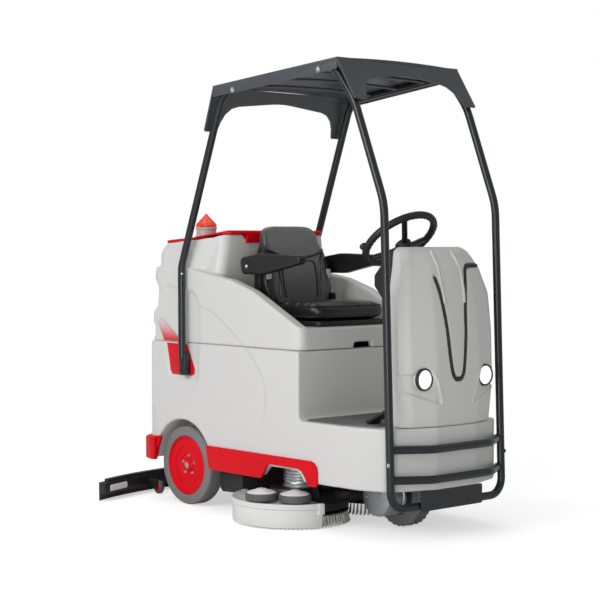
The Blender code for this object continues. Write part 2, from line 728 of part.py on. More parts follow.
def steering_knob(carrier):
    start = WHEEL_RIM_RADIUS + GAP
    profile = [(0.0, start), (0.009, start), (0.009, start + 0.006), (0.016, start + 0.012),
               (0.017, start + 0.024), (0.010, start + 0.032), (0.0, start + 0.034)]
    knob = turned(profile, knob_place(), steering_axis(), 16)
    return solid("steering_knob", knob, "black_plastic", carrier)


def key_switch(carrier):
    profile = [(0.0, -0.0137), (0.0110, -0.0137), (0.0110, 0.003), (0.006, 0.003), (0.0, 0.003)]
    switch = solid("key_switch", turned(profile, dash_point(-KEY_X), DASH_NORMAL, 16), "steel", carrier)
    normal = Vector(DASH_NORMAL)
    along = normal.cross(Vector((1.0, 0.0, 0.0)))
    middle = Vector(dash_point(-KEY_X))
    blade = []
    for height in (0.001, 0.026):
        ring = []
        for across, depth in ((-1, -1), (1, -1), (1, 1), (-1, 1)):
            ring.append(middle + normal * height + Vector((0.0015 * across, 0.0, 0.0)) + along * 0.009 * depth)
        blade.append(ring)
    return join(switch, loft(blade))


def stop_button(carrier):
    profile = [(0.0, -0.0080), (0.0190, -0.0080), (0.0190, 0.012), (0.0230, 0.014), (0.0230, 0.020),
               (0.015, 0.026), (0.0, 0.028)]
    return solid("stop_button", turned(profile, dash_point(KEY_X), DASH_NORMAL, 20), "switch_red", carrier)


# ---------------------------------------------------------------- the guard

def guard_hoop(root, name, side):
    """Half of the driver's guard: rear foot, roof rail, front leg and half the bottom bar."""
    front_x = side * GUARD_FRONT_HALF
    rear_x = side * GUARD_REAR_HALF
    corners = [
        (side * GAP / 2, GUARD_FRONT_Y, GUARD_BOTTOM_Z, 0.0),
        (front_x, GUARD_FRONT_Y, GUARD_BOTTOM_Z, 0.075),
        (front_x, GUARD_FRONT_Y + 0.045, 1.410, 0.30),
        (side * (GUARD_FRONT_HALF + 0.004), GUARD_FRONT_Y + 0.220, 1.850, 0.30),
        (side * (GUARD_FRONT_HALF + 0.008), ROOF_FRONT_Y, ROOF_TUBE_FRONT_Z, 0.10),
        (side * (GUARD_REAR_HALF - 0.008), ROOF_REAR_Y, ROOF_TUBE_REAR_Z, 0.11),
        (rear_x, FOOT_Y + 0.003, 1.130, 0.14),
        (rear_x, FOOT_Y, FOOT_BOTTOM_Z + 0.004, 0.0),
    ]
    hoop = solid(name, tube(bent_line(corners, 3), TUBE_RADIUS, TUBE_SIDES), "guard_paint", root)
    plate_inner = side * (FOOT_RECESS + GAP)
    plate_outer = side * (GUARD_REAR_HALF + 0.004)
    return join(hoop, box((min(plate_inner, plate_outer), FOOT_Y - 0.022, FOOT_BOTTOM_Z),
                          (max(plate_inner, plate_outer), FOOT_Y + 0.022, FOOT_TOP_Z)))


def leg_y(height):
    """Where the middle of a front leg is at a height below its bend."""
    return GUARD_FRONT_Y + 0.045 * (height - GUARD_BOTTOM_Z) / (1.410 - GUARD_BOTTOM_Z)


def guard_bow(root, name, height):
    """Bumper bar that bows forward between the front legs."""
    end_x = GUARD_FRONT_HALF - TUBE_RADIUS - GAP - 0.001
    end_y = leg_y(height) - 0.004
    corners = [(-end_x, end_y, height, 0.0), (-BOW_KINK_HALF, BOW_FRONT_Y, height, 0.12),
               (BOW_KINK_HALF, BOW_FRONT_Y, height, 0.12), (end_x, end_y, height, 0.0)]
    return solid(name, tube(bent_line(corners, 3), TUBE_RADIUS, TUBE_SIDES), "guard_paint", root)


def guard_plate(root):
    """Plate that joins the bottom bars and stands under the lower bow."""
    front = GUARD_FRONT_Y - TUBE_RADIUS - GAP
    return solid("guard_plate", soft_box((-0.190, front - 0.006, GUARD_BOTTOM_Z - 0.020),
                                         (0.190, front, GUARD_BOTTOM_Z + 0.065), 0.008, "Y"),
                 "guard_paint", root, False)


def roof_height(y, lift):
    """Underside-to-top line of the roof, falling to the rear with a slight crown."""
    span = (y - ROOF_FRONT_Y) / (ROOF_REAR_Y - ROOF_FRONT_Y)
    base = ROOF_TUBE_FRONT_Z + (ROOF_TUBE_REAR_Z - ROOF_TUBE_FRONT_Z) * span
    return base + TUBE_RADIUS * cos(pi / TUBE_SIDES) + lift


def roof_shell(root):
    """Moulded roof on top of the rails, crowned across, with skirts that hang over its ends."""
    shape = bmesh.new()
    steps_y = 8
    steps_x = 10
    top = []
    low = []
    for j in range(steps_y + 1):
        t = j / steps_y
        y = ROOF_EDGE_FRONT + (ROOF_EDGE_REAR - ROOF_EDGE_FRONT) * t
        half = ROOF_HALF_FRONT + (ROOF_HALF_REAR - ROOF_HALF_FRONT) * t
        top_row = []
        low_row = []
        for i in range(steps_x + 1):
            s = 2 * i / steps_x - 1
            across = max(0.0, 1 - (s / ROOF_CROWN_SHARE) ** 2)
            crown = ROOF_CROWN * across * (1 - (2 * t - 1) ** 2 * 0.5)
            z = roof_height(y, 0.0) + crown
            low_row.append(shape.verts.new((half * s, y, z + ROOF_SEAT)))
            top_row.append(shape.verts.new((half * s, y, z + ROOF_THICKNESS)))
        top.append(top_row)
        low.append(low_row)
    for j in range(steps_y):
        for i in range(steps_x):
            shape.faces.new((top[j][i], top[j][i + 1], top[j + 1][i + 1], top[j + 1][i]))
            shape.faces.new((low[j][i], low[j + 1][i], low[j + 1][i + 1], low[j][i + 1]))
    for i in range(steps_x):
        shape.faces.new((top[0][i], low[0][i], low[0][i + 1], top[0][i + 1]))
        shape.faces.new((top[-1][i], top[-1][i + 1], low[-1][i + 1], low[-1][i]))
    for j in range(steps_y):
        shape.faces.new((top[j][0], top[j + 1][0], low[j + 1][0], low[j][0]))
        shape.faces.new((top[j][-1], low[j][-1], low[j + 1][-1], top[j + 1][-1]))
    roof = solid("roof_shell", shape, "roof_plastic", root)
    join(roof, roof_skirt(ROOF_EDGE_FRONT, ROOF_FRONT_SKIRT_Y, 1.850, ROOF_HALF_FRONT, 0.009))
    join(roof, roof_skirt(ROOF_EDGE_REAR, ROOF_REAR_SKIRT_Y, 1.757, ROOF_HALF_REAR, -0.010))
    for side in (-1, 1):
        join(roof, roof_flange(side))
    return roof


def roof_flange(side):
    """Band of the roof that hangs outside one rail."""
    rings = []
    for y, half in ((ROOF_EDGE_FRONT + 0.002, ROOF_HALF_FRONT), (ROOF_EDGE_REAR - 0.002, ROOF_HALF_REAR)):
        outer = side * (half - 0.0002)
        inner = side * (half - ROOF_FLANGE)
        top = roof_height(y, 0.008)
        rings.append([Vector((x, y, z)) for x, z in (
            (outer, top), (outer, top - ROOF_FLANGE_DROP), (inner, top - ROOF_FLANGE_DROP), (inner, top))])
    return loft(rings)


def roof_skirt(top_y, low_y, low_z, half, thickness):
    """Sloping end skirt of the roof, arched away in the middle."""
    top_z = roof_height(top_y, 0.006)
    arch = rounded([(-half, low_z, 0.01), (-half + 0.070, low_z, 0.01), (-half + 0.100, top_z - 0.085, 0.10),
                    (0.0, top_z - 0.050, 0.60), (half - 0.100, top_z - 0.085, 0.10), (half - 0.070, low_z, 0.01), (half, low_z, 0.01),
                    (half, top_z, 0.0), (-half, top_z, 0.0)], 3)
    rings = []
    for shift in (0.0, thickness):
        ring = []
        for x, z in arch:
            t = (top_z - z) / (top_z - low_z)
            ring.append(Vector((x, top_y + (low_y - top_y) * t + shift, z)))
        rings.append(ring)
    return loft(rings)


# ------------------------------------------------- upper body, tank and seat

def lid_line(y):
    """Height of the joint between the tank and its lid, falling to the rear."""
    return TANK_TOP_FRONT + (TANK_TOP_REAR - TANK_TOP_FRONT) * (y - TANK_FACE) / (TANK_REAR - TANK_FACE)


def upper_plan(inset, half_front):
    """Plan of the upper tank, which narrows towards the seat."""
    return rounded(mirrored([(half_front - inset, TANK_FACE + inset, 0.050),
                             (UPPER_HALF - inset, UPPER_SPREAD_Y, 0.200),
                             (UPPER_HALF - inset, TANK_REAR - inset, 0.080)]))


def upper_block(inset, low, high):
    """Upright block on the upper tank's plan, its front corners drawn in towards the top."""
    rings = []
    for height in (low, high):
        half_front = UPPER_FRONT_HALF - 0.24 * (height - SHOULDER_TOP)
        rings.append([Vector((x, y, height)) for x, y in upper_plan(inset, half_front)])
    return loft(rings)


def recovery_tank(carrier):
    """Seat box, side walls and dirty-water tank in one moulding."""
    bottom = SEAM_HEIGHT + SEAM_GAP
    rear = BODY_REAR - 0.005
    side = rounded([
        (BOX_FRONT, bottom, 0.0), (BOX_FRONT, PLINTH_TOP, 0.012), (-0.030, 1.028, 0.30),
        (0.130, 1.076, 0.20), (TANK_FACE + 0.010, 1.096, 0.10), (0.450, SHOULDER_TOP, 0.05),
        (TANK_REAR - 0.012, SHOULDER_TOP, 0.02), (TANK_REAR - 0.012, 0.985, 0.02), (rear, 0.930, 0.03),
        (rear, bottom, 0.0)])
    tank = solid("recovery_tank", prism(side, "X", -0.5, 0.5), "grey_moulding", carrier)
    plan = mirrored([(TANK_HALF, BOX_FRONT, 0.045), (TANK_HALF, rear, 0.090)])
    combine(tank, prism(rounded(plan), "Z", bottom - 0.1, 1.5), "INTERSECT")
    join(tank, upper_block(0.0, 0.960, lid_line(TANK_FACE) + 0.010))
    slope = prism([(-0.5, lid_line(-0.5)), (1.2, lid_line(1.2)), (1.2, 1.6), (-0.5, 1.6)], "X", -0.6, 0.6)
    cut(tank, slope)
    cut(tank, box((-SEAT_BAY_HALF, BOX_FRONT - 0.1, PLINTH_TOP), (SEAT_BAY_HALF, TANK_FACE - 0.001, 1.5)))
    cut(tank, soft_box((-0.345, BOX_FRONT + 0.030, 0.7), (0.345, TANK_FACE - 0.020, PLINTH_TOP - 0.022), 0.02))
    cut(tank, upper_block(TANK_WALL, POCKET_FLOOR, 1.5))
    for x in HINGE_MOVING:
        join(tank, box((x - 0.018, BODY_REAR - 0.015, HINGE_Z + 0.002), (x + 0.018, HINGE_Y - 0.004, HINGE_Z + 0.060)))
        join(tank, turned([(0.0, -0.018), (0.012, -0.018), (0.012, 0.018), (0.0, 0.018)],
                          (x, HINGE_Y, HINGE_Z), (1.0, 0.0, 0.0), 12))
    cut(tank, turned([(0.0, -0.4), (PIN_RADIUS + GAP, -0.4), (PIN_RADIUS + GAP, 0.4), (0.0, 0.4)],
                     (0.0, HINGE_Y, HINGE_Z), (1.0, 0.0, 0.0), 12))
    cut(tank, box((-GRIP_HALF, BOX_FRONT - 0.05, 0.7), (GRIP_HALF, BOX_FRONT + 0.05, bottom + 0.026)))
    return tank


def tank_lid(carrier):
    """Lid over the tank's mouth, humped over the lip that hangs down its front."""
    front_line = lid_line(LID_FRONT)
    side = rounded([
        (LID_FRONT, front_line - 0.024, 0.0), (LID_FRONT, front_line + LID_THICKNESS + LID_HUMP, 0.012),
        (0.335, lid_line(0.335) + LID_THICKNESS + LID_HUMP / 2, 0.20), (0.430, lid_line(0.430) + LID_THICKNESS, 0.15),
        (LID_REAR, lid_line(LID_REAR) + LID_THICKNESS, 0.010), (LID_REAR, lid_line(LID_REAR) + GAP, 0.0),
        (TANK_FACE - GAP, lid_line(TANK_FACE) + GAP, 0.0), (TANK_FACE - GAP, front_line - 0.024, 0.0)], 3)
    lid = solid("tank_lid", prism(side, "X", -0.5, 0.5), "red_moulding", carrier)
    plan = mirrored([(LID_FRONT_HALF, LID_FRONT - 0.001, 0.030), (LID_HALF, UPPER_SPREAD_Y, 0.200),
                     (LID_HALF, LID_REAR + 0.001, 0.075)])
    return combine(lid, prism(rounded(plan), "Z", 1.0, 1.5), "INTERSECT")


def beacon_base(carrier):
    x, y = BEACON_PLACE
    z = lid_line(y) + LID_THICKNESS + GAP
    slope = 0.004
    profile = [(0.0, z + slope), (0.048, z + slope), (0.048, z + 0.012), (0.041, z + 0.018),
               (0.041, z + BEACON_BASE_HEIGHT), (0.0, z + BEACON_BASE_HEIGHT)]
    base = solid("beacon_base", turned(profile, (x, y, 0.0), sides=20), "black_plastic", carrier)
    foot = box((x - 0.030, y - 0.006, z + 0.0005), (x + 0.030, y + 0.006, z + slope + 0.002))
    return join(base, foot)


def beacon_lens(carrier):
    x, y = BEACON_PLACE
    z = lid_line(y) + LID_THICKNESS + GAP + BEACON_BASE_HEIGHT + GAP
    profile = [(0.0, z), (0.0395, z), (0.0405, z + 0.010), (0.035, z + 0.015), (0.004, z + 0.054),
               (0.0, z + 0.055)]
    return solid("beacon_lens", turned(profile, (x, y, 0.0), sides=20), "beacon_orange", carrier)


def seat_slide(carrier):
    """Steel pan that slides on the plinth."""
    low = PLINTH_TOP + GAP
    rear = BACK_FRONT_Y + 0.070
    slide = solid("seat_slide", soft_box((-0.215, SEAT_FRONT + 0.010, low),
                                         (0.215, rear, low + SEAT_PAN_THICKNESS), 0.02),
                  "black_plastic", carrier)
    ear = BACK_BASE_HALF + GAP
    for x_low, x_high in ((-ear - 0.007, -ear), (ear, ear + 0.007)):
        front = BACK_FRONT_Y + 0.002
        top = BACK_HINGE_Z + 0.016
        outline = rounded([(front, low + 0.010, 0.0), (rear - 0.004, low + 0.010, 0.0),
                           (rear - 0.012, top, 0.012), (front, top, 0.010)])
        join(slide, prism(outline, "X", x_low, x_high))
    return slide


def cushion_base():
    return PLINTH_TOP + GAP + SEAT_PAN_THICKNESS + GAP


def seat_cushion(carrier):
    low = cushion_base()
    outline = mirrored([(SEAT_HALF, SEAT_FRONT, 0.055), (SEAT_HALF, BACK_FRONT_Y - GAP, 0.020)])
    cushion = solid("seat_cushion", prism(rounded(outline), "Z", low, low + CUSHION_THICKNESS), "seat_vinyl", carrier)
    return cushion


def back_shift(height):
    """How far the front of the backrest leans back at a height."""
    return BACK_LEAN * (height - cushion_base())


def seat_back(carrier):
    """Padded backrest, wide at the top, standing just behind the cushion."""
    low = cushion_base() + 0.012
    shoulder = BACK_TOP_Z - 0.110
    sections = []
    for height, half, thickness in (
            (low, BACK_BASE_HALF, BACK_BASE_THICKNESS), (low + 0.102, BACK_BASE_HALF, BACK_BASE_THICKNESS),
            (low + 0.128, BACK_HALF, BACK_THICKNESS), (shoulder - 0.025, BACK_HALF, BACK_THICKNESS),
            (shoulder + 0.015, HEAD_HALF + 0.006, BACK_THICKNESS), (BACK_TOP_Z - 0.035, HEAD_HALF, BACK_THICKNESS),
            (BACK_TOP_Z - 0.010, HEAD_HALF - 0.018, BACK_THICKNESS - 0.010),
            (BACK_TOP_Z, HEAD_HALF - 0.045, BACK_THICKNESS - 0.030)):
        front = BACK_FRONT_Y + back_shift(height)
        rear = front + thickness
        trim = 0.026
        sections.append([Vector((x, y, height)) for x, y in (
            (-half, front + trim), (-half + trim, front), (half - trim, front), (half, front + trim),
            (half, rear - 0.010), (half - 0.016, rear), (-half + 0.016, rear), (-half, rear - 0.010))])
    return solid("seat_back", loft(sections), "seat_vinyl", carrier)


def armrest(carrier, name, side):
    """Tapered padded arm with a round heel about its pivot."""
    tip = ARM_PIVOT_Y + 0.044 - ARM_LENGTH
    side_view = rounded([
        (ARM_PIVOT_Y + 0.036, ARM_PIVOT_Z - 0.036, 0.022), (ARM_PIVOT_Y + 0.050, ARM_PIVOT_Z + 0.040, 0.022),
        (ARM_PIVOT_Y - 0.090, ARM_PIVOT_Z + 0.060, 0.30), (tip, ARM_PIVOT_Z + 0.052, 0.016),
        (tip + 0.004, ARM_PIVOT_Z + 0.016, 0.014), (ARM_PIVOT_Y - 0.110, ARM_PIVOT_Z - 0.036, 0.08)], 3)
    x = side * ARM_X
    arm = solid(name, prism(side_view, "X", x - ARM_HALF_WIDTH, x + ARM_HALF_WIDTH), "seat_vinyl", carrier)
    inner = side * (BACK_HALF + GAP)
    reach = ARM_GAP + 0.006
    pin = turned([(0.0, 0.0), (0.010, 0.0), (0.010, reach), (0.0, reach)],
                 (inner, ARM_PIVOT_Y, ARM_PIVOT_Z), (side, 0.0, 0.0), 12)
    return join(arm, pin)


# -------------------------------------------------------------------- wheels

def tyre_profile(radius, bore, half):
    """Section of a solid tyre with rounded shoulders."""
    return [(bore, -half + 0.004), (radius - 0.030, -half), (radius - 0.010, -half + 0.008),
            (radius, -half + 0.024), (radius, half - 0.024), (radius - 0.010, half - 0.008),
            (radius - 0.030, half), (bore, half - 0.004)]


def rear_wheel(carrier, suffix, side):
    middle = side * (REAR_WHEEL_OUTER - REAR_TYRE_WIDTH / 2)
    centre = (middle, REAR_AXLE_Y, REAR_WHEEL_RADIUS)
    axis = (side, 0.0, 0.0)
    half = REAR_TYRE_WIDTH / 2
    solid(f"rear_tyre_{suffix}", turned(tyre_profile(REAR_WHEEL_RADIUS, RIM_RADIUS + GAP, half), centre, axis, 32),
          "tyre", carrier)
    bore = AXLE_RADIUS + GAP
    profile = [(bore, -half + 0.006), (0.050, -half + 0.006), (0.060, -half + 0.016), (RIM_RADIUS, -half + 0.016),
               (RIM_RADIUS, half - 0.006), (RIM_RADIUS - 0.016, half - 0.008), (RIM_RADIUS - 0.030, half - 0.018),
               (0.070, half - 0.014), (0.055, half - 0.004), (bore, half - 0.004)]
    solid(f"rear_rim_{suffix}", turned(profile, centre, axis, 32), "red_moulding", carrier)


def drive_wheel(carrier):
    centre = (0.0, DRIVE_AXLE_Y, DRIVE_WHEEL_RADIUS)
    half = DRIVE_TYRE_WIDTH / 2
    axis = (1.0, 0.0, 0.0)
    solid("drive_tyre", turned(tyre_profile(DRIVE_WHEEL_RADIUS, DRIVE_HUB_RADIUS + GAP, half), centre, axis, 24),
          "tyre", carrier)
    profile = [(0.0, -half + 0.004), (0.030, -half + 0.004), (0.040, -half + 0.012), (DRIVE_HUB_RADIUS, -half + 0.012),
               (DRIVE_HUB_RADIUS, half - 0.006), (0.040, half - 0.012), (0.030, half), (0.0, half)]
    solid("drive_hub", turned(profile, centre, axis, 24), "aluminium", carrier)


def drive_fork(carrier):
    """Steering fork: round turntable, crown and two cheeks that hold the drive wheel."""
    top = STEP_TOP - STEP_THICKNESS - GAP
    turntable = turned([(0.0, FORK_TOP), (0.075, FORK_TOP), (0.075, top - 0.008), (0.060, top), (0.0, top)],
                       (0.0, DRIVE_AXLE_Y, 0.0), sides=24)
    fork = solid("drive_fork", turntable, "frame_paint", carrier)
    crown_low = 2 * DRIVE_WHEEL_RADIUS + 0.020
    join(fork, box((-FORK_HALF - 0.016, DRIVE_AXLE_Y - 0.055, crown_low),
                   (FORK_HALF + 0.016, DRIVE_AXLE_Y + 0.055, FORK_TOP + 0.004)))
    for low, high in ((-FORK_HALF - 0.014, -FORK_HALF), (FORK_HALF, FORK_HALF + 0.014)):
        cheek = rounded([(DRIVE_AXLE_Y - 0.050, crown_low + 0.010, 0.0), (DRIVE_AXLE_Y - 0.035, 0.105, 0.03),
                         (DRIVE_AXLE_Y + 0.035, 0.105, 0.03), (DRIVE_AXLE_Y + 0.050, crown_low + 0.010, 0.0)], 3)
        join(fork, prism(cheek, "X", low, high))
    pin_end = FORK_HALF + 0.001
    hub_face = DRIVE_TYRE_WIDTH / 2 + GAP
    for side in (-1, 1):
        reach = hub_face if side > 0 else DRIVE_TYRE_WIDTH / 2 - 0.004 + GAP
        join(fork, turned([(0.0, reach), (0.020, reach), (0.020, pin_end), (0.0, pin_end)],
                          (0.0, DRIVE_AXLE_Y, DRIVE_WHEEL_RADIUS), (side, 0.0, 0.0), 16))
    return fork


def drive_motor(carrier):
    """Traction motor and gear drum on the driver's right of the fork, shaft in line with the wheel."""
    start = FORK_HALF + 0.014 + GAP
    profile = [(0.0, start), (0.078, start), (0.084, start + 0.010), (0.084, start + 0.050), (0.066, start + 0.062),
               (0.066, start + 0.100), (0.050, start + 0.112), (0.0, start + 0.112)]
    return solid("drive_motor", turned(profile, (0.0, DRIVE_AXLE_Y, DRIVE_WHEEL_RADIUS), (-1.0, 0.0, 0.0), 24),
                 "aluminium", carrier)


# --------------------------------------------------------------- brush deck


def brush_deck(carrier):
    """Black casting over both brushes, with a raised bowl above each."""
    y = BRUSH_Y
    x = BRUSH_X
    radius = BRUSH_RADIUS - 0.006
    profile = [(0.0, DECK_LOW), (radius, DECK_LOW), (radius, DECK_TOP - 0.006), (radius - 0.01, DECK_TOP),
               (0.0, DECK_TOP)]
    deck = solid("brush_deck", turned(profile, (-x, y, 0.0), sides=32), "black_plastic", carrier)
    join(deck, turned(profile, (x, y, 0.0), sides=32))
    join(deck, box((-x, y - 0.120, DECK_LOW + 0.001), (x, y + 0.120, DECK_TOP - 0.001)))
    for side in (-1, 1):
        join(deck, turned([(0.0, DECK_LOW + 0.01), (0.125, DECK_LOW + 0.01), (0.105, DECK_TOP + 0.045),
                           (0.0, DECK_TOP + 0.045)], (side * x, y, 0.0), sides=24))
    join(deck, box((-0.030, y + 0.060, DECK_TOP - 0.01), (0.030, y + 0.100, DECK_LUG_TOP)))
    return deck


def brush_motor(carrier, name, side):
    """Gearmotor standing on the deck over one brush."""
    base = DECK_TOP + 0.045 + GAP
    profile = [(0.0, base), (0.075, base), (0.075, base + 0.030), (0.055, base + 0.040), (0.055, base + 0.135),
               (0.040, base + 0.145), (0.0, base + 0.145)]
    return solid(name, turned(profile, (side * BRUSH_X * 0.86, BRUSH_Y, 0.0), sides=20), "aluminium", carrier)


def brush(carrier, name, side):
    """Disc brush: backing plate and a ring of bristles down to the floor."""
    top = DECK_LOW - GAP
    radius = BRUSH_RADIUS - 0.004
    profile = [(0.0, BRISTLE_LENGTH), (0.070, BRISTLE_LENGTH), (0.080, 0.0), (radius, 0.0),
               (radius - 0.018, BRISTLE_LENGTH), (radius - 0.010, top), (0.0, top)]
    return solid(name, turned(profile, (side * BRUSH_X, BRUSH_Y, 0.0), sides=32), "bristle", carrier)


def fender_angle(side, degrees):
    """Angle about a brush, measured from straight outward towards the front."""
    turn = radians(degrees)
    return (side * cos(turn), -sin(turn))


def splash_skirt(carrier, name, side):
    """Curved top ledge with a curtain that hangs round the outside of one brush."""
    steps = 16
    section = [(BRUSH_RADIUS - 0.090, DECK_TOP + GAP), (FENDER_RADIUS - FENDER_WALL - 0.004, DECK_TOP + GAP),
               (FENDER_RADIUS - FENDER_WALL, DECK_TOP - 0.006), (FENDER_RADIUS - FENDER_WALL, FENDER_BOTTOM),
               (FENDER_RADIUS, FENDER_BOTTOM), (FENDER_RADIUS, FENDER_TOP - 0.022),
               (FENDER_RADIUS + 0.008, FENDER_TOP - 0.018), (FENDER_RADIUS + 0.008, FENDER_TOP),
               (BRUSH_RADIUS - 0.090, FENDER_TOP)]
    rings = []
    for step in range(steps + 1):
        out_x, out_y = fender_angle(side, FENDER_START + (FENDER_END - FENDER_START) * step / steps)
        rings.append([Vector((side * BRUSH_X + r * out_x, BRUSH_Y + r * out_y, z)) for r, z in section])
    return solid(name, loft(rings), "skirt_plastic", carrier)


def roller_place(side, degrees):
    out_x, out_y = fender_angle(side, degrees)
    return (side * BRUSH_X + ROLLER_PITCH * out_x, BRUSH_Y + ROLLER_PITCH * out_y, 0.0)


def deck_roller(carrier, name, side, degrees):
    """Bumper roller that lies flat on the ledge: rubber tyre round a domed hub."""
    low = FENDER_TOP + GAP
    profile = [(0.0, low), (0.020, low), (0.020, low + 0.004), (ROLLER_RADIUS - 0.008, low + 0.004),
               (ROLLER_RADIUS, low + 0.010), (ROLLER_RADIUS, low + 0.026), (ROLLER_RADIUS - 0.008, low + 0.032),
               (0.030, low + 0.040), (0.010, low + 0.044), (0.0, low + 0.044)]
    return solid(name, turned(profile, roller_place(side, degrees), sides=20), "rubber", carrier)


def deck_link(carrier):
    """Arm from the frame that raises the deck by its middle lug."""
    half = LINK_HALF
    arm = solid("deck_link", tube([Vector((0.0, LINK_PIVOT_Y, LINK_PIVOT_Z)),
                                   Vector((0.0, LINK_PIVOT_Y - LINK_LENGTH, LINK_PIVOT_Z - 0.002))], 0.012, 8),
                "steel", carrier)
    for y in (LINK_PIVOT_Y, LINK_PIVOT_Y - LINK_LENGTH):
        join(arm, turned([(0.0, -half), (0.020, -half), (0.020, half), (0.0, half)],
                         (0.0, y, LINK_PIVOT_Z - 0.001), (1.0, 0.0, 0.0), 16))
    return arm


# ----------------------------------------------------------------- squeegee


def bow(x):
    """How far forward of its middle the squeegee lies at x."""
    return SQUEEGEE_BOW * (x / SQUEEGEE_HALF) ** 2


def curved_bar(half, front_offset, depth, low, high, steps=20):
    """Bar bent to the squeegee's bow, between two heights."""
    rings = []
    for step in range(steps + 1):
        x = -half + 2 * half * step / steps
        y = SQUEEGEE_REAR - bow(x) - front_offset
        rings.append([Vector((x, y, low)), Vector((x, y, high)),
                      Vector((x, y - depth, high)), Vector((x, y - depth, low))])
    return loft(rings)


def squeegee_body(carrier):
    """Curved carrier of the wiper blades, with a suction port in the middle."""
    body = solid("squeegee_body", curved_bar(SQUEEGEE_HALF, BLADE_THICKNESS + GAP, SQUEEGEE_DEPTH, 0.036,
                                             SQUEEGEE_TOP - 0.010), "black_plastic", carrier)
    join(body, curved_bar(SQUEEGEE_HALF - 0.035, BLADE_THICKNESS + GAP + 0.012, SQUEEGEE_DEPTH - 0.024,
                          SQUEEGEE_TOP - 0.014, SQUEEGEE_TOP + 0.004, 16))
    middle = (0.0, SQUEEGEE_REAR - 0.034, 0.0)
    port = turned([(0.0, 0.080), (0.030, 0.080), (0.026, 0.160), (0.0, 0.160)], middle, sides=16)
    join(body, port)
    cut(body, turned([(0.0, 0.110), (0.020, 0.110), (0.020, 0.20), (0.0, 0.20)], middle, sides=12))
    join(body, box((-0.060, SWING_Y + 0.024, 0.060), (0.060, SQUEEGEE_REAR - 0.040, 0.082)))
    join(body, turned([(0.0, 0.052), (0.032, 0.052), (0.032, SWING_TOP), (0.0, SWING_TOP)],
                      (0.0, SWING_Y, 0.0), sides=20))
    for side in (-1, 1):
        x = side * CASTER_X
        rear = SQUEEGEE_REAR - bow(x) - SQUEEGEE_DEPTH + 0.015
        fork = prism([(CASTER_Y - 0.010, CASTER_RADIUS - 0.010), (CASTER_Y + 0.010, CASTER_RADIUS - 0.010),
                      (rear, 0.050), (rear, 0.072), (CASTER_Y - 0.010, 0.072)], "X", x - 0.022, x - 0.015)
        join(body, fork)
        join(body, tube([Vector((x - 0.0185, CASTER_Y, CASTER_RADIUS)), Vector((x + 0.015, CASTER_Y, CASTER_RADIUS))],
                        0.006, 8))
    return body


def squeegee_blade(carrier):
    """Rubber wiper along the back of the carrier."""
    return solid("squeegee_blade", curved_bar(SQUEEGEE_HALF - 0.005, 0.0, BLADE_THICKNESS, 0.0005, 0.080),
                 "rubber", carrier)


def squeegee_arm(carrier):
    """Lifting arm from the tail of the frame to the swing post of the squeegee."""
    x, y, z = ARM_PIVOT
    half = SQUEEGEE_ARM_HALF
    arm = solid("squeegee_arm", turned([(0.0, -half), (0.020, -half), (0.020, half), (0.0, half)],
                                       ARM_PIVOT, (1.0, 0.0, 0.0), 16), "frame_paint", carrier)
    join(arm, prism([(y, z - 0.012), (SWING_Y, SWING_TOP + GAP), (SWING_Y, SWING_TOP + 0.022), (y, z + 0.012)],
                    "X", -0.028, 0.028))
    join(arm, turned([(0.0, SWING_TOP + GAP), (0.036, SWING_TOP + GAP), (0.036, SWING_TOP + 0.024),
                      (0.0, SWING_TOP + 0.024)], (0.0, SWING_Y, 0.0), sides=20))
    return arm


def squeegee_caster(carrier, name, side):
    profile = [(0.0064, -0.011), (CASTER_RADIUS - 0.004, -0.011), (CASTER_RADIUS, -0.006), (CASTER_RADIUS, 0.006),
               (CASTER_RADIUS - 0.004, 0.011), (0.0064, 0.011)]
    return solid(name, turned(profile, (side * CASTER_X, CASTER_Y, CASTER_RADIUS), (1.0, 0.0, 0.0), 24),
                 "rubber", carrier)


# -------------------------------------------------------------------- pedal


def drive_pedal(carrier):
    """Treadle hinged at the heel, sprung to stand up."""
    base = STEP_TOP + 0.006 + GAP
    heel = turned([(0.0, -PEDAL_HALF), (0.010, -PEDAL_HALF), (0.010, PEDAL_HALF), (0.0, PEDAL_HALF)],
                  (PEDAL_X, PEDAL_Y, base + 0.010), (1.0, 0.0, 0.0), 12)
    pedal = solid("drive_pedal", heel, "black_plastic", carrier)
    ahead = Vector((0.0, -cos(PEDAL_REST), sin(PEDAL_REST)))
    up = Vector((0.0, sin(PEDAL_REST), cos(PEDAL_REST)))
    start = Vector((PEDAL_X, PEDAL_Y, base + 0.010))
    rings = []
    for distance in (0.0, PEDAL_LENGTH):
        rings.append([start + ahead * distance + Vector(((PEDAL_HALF - 0.002) * s, 0.0, 0.0)) + up * h
                      for s, h in ((-1, -0.004), (1, -0.004), (1, 0.007), (-1, 0.007))])
    return join(pedal, loft(rings))


# ----------------------------------------------------------------- assembly

def build_chassis():
    root = pivot("machine", (0.0, 0.0, 0.0))
    lower_body(root)
    floor_mat(root)
    side_skirt(root, "skirt_right", -1)
    side_skirt(root, "skirt_left", 1)
    rear_bumper(root)
    chassis_frame(root)
    rear_axle(root)
    battery_pack(root)
    vacuum_motor(root)
    rear_hinge(root)
    console_shell(root)
    headlight(root, "headlight_right", -1)
    headlight(root, "headlight_left", 1)
    dash_panel(root)
    steering_column(root)
    guard_hoop(root, "guard_hoop_right", -1)
    guard_hoop(root, "guard_hoop_left", 1)
    guard_bow(root, "guard_bow_upper", BOW_HEIGHTS[0])
    guard_bow(root, "guard_bow_lower", BOW_HEIGHTS[1])
    guard_plate(root)
    roof_shell(root)
    return root


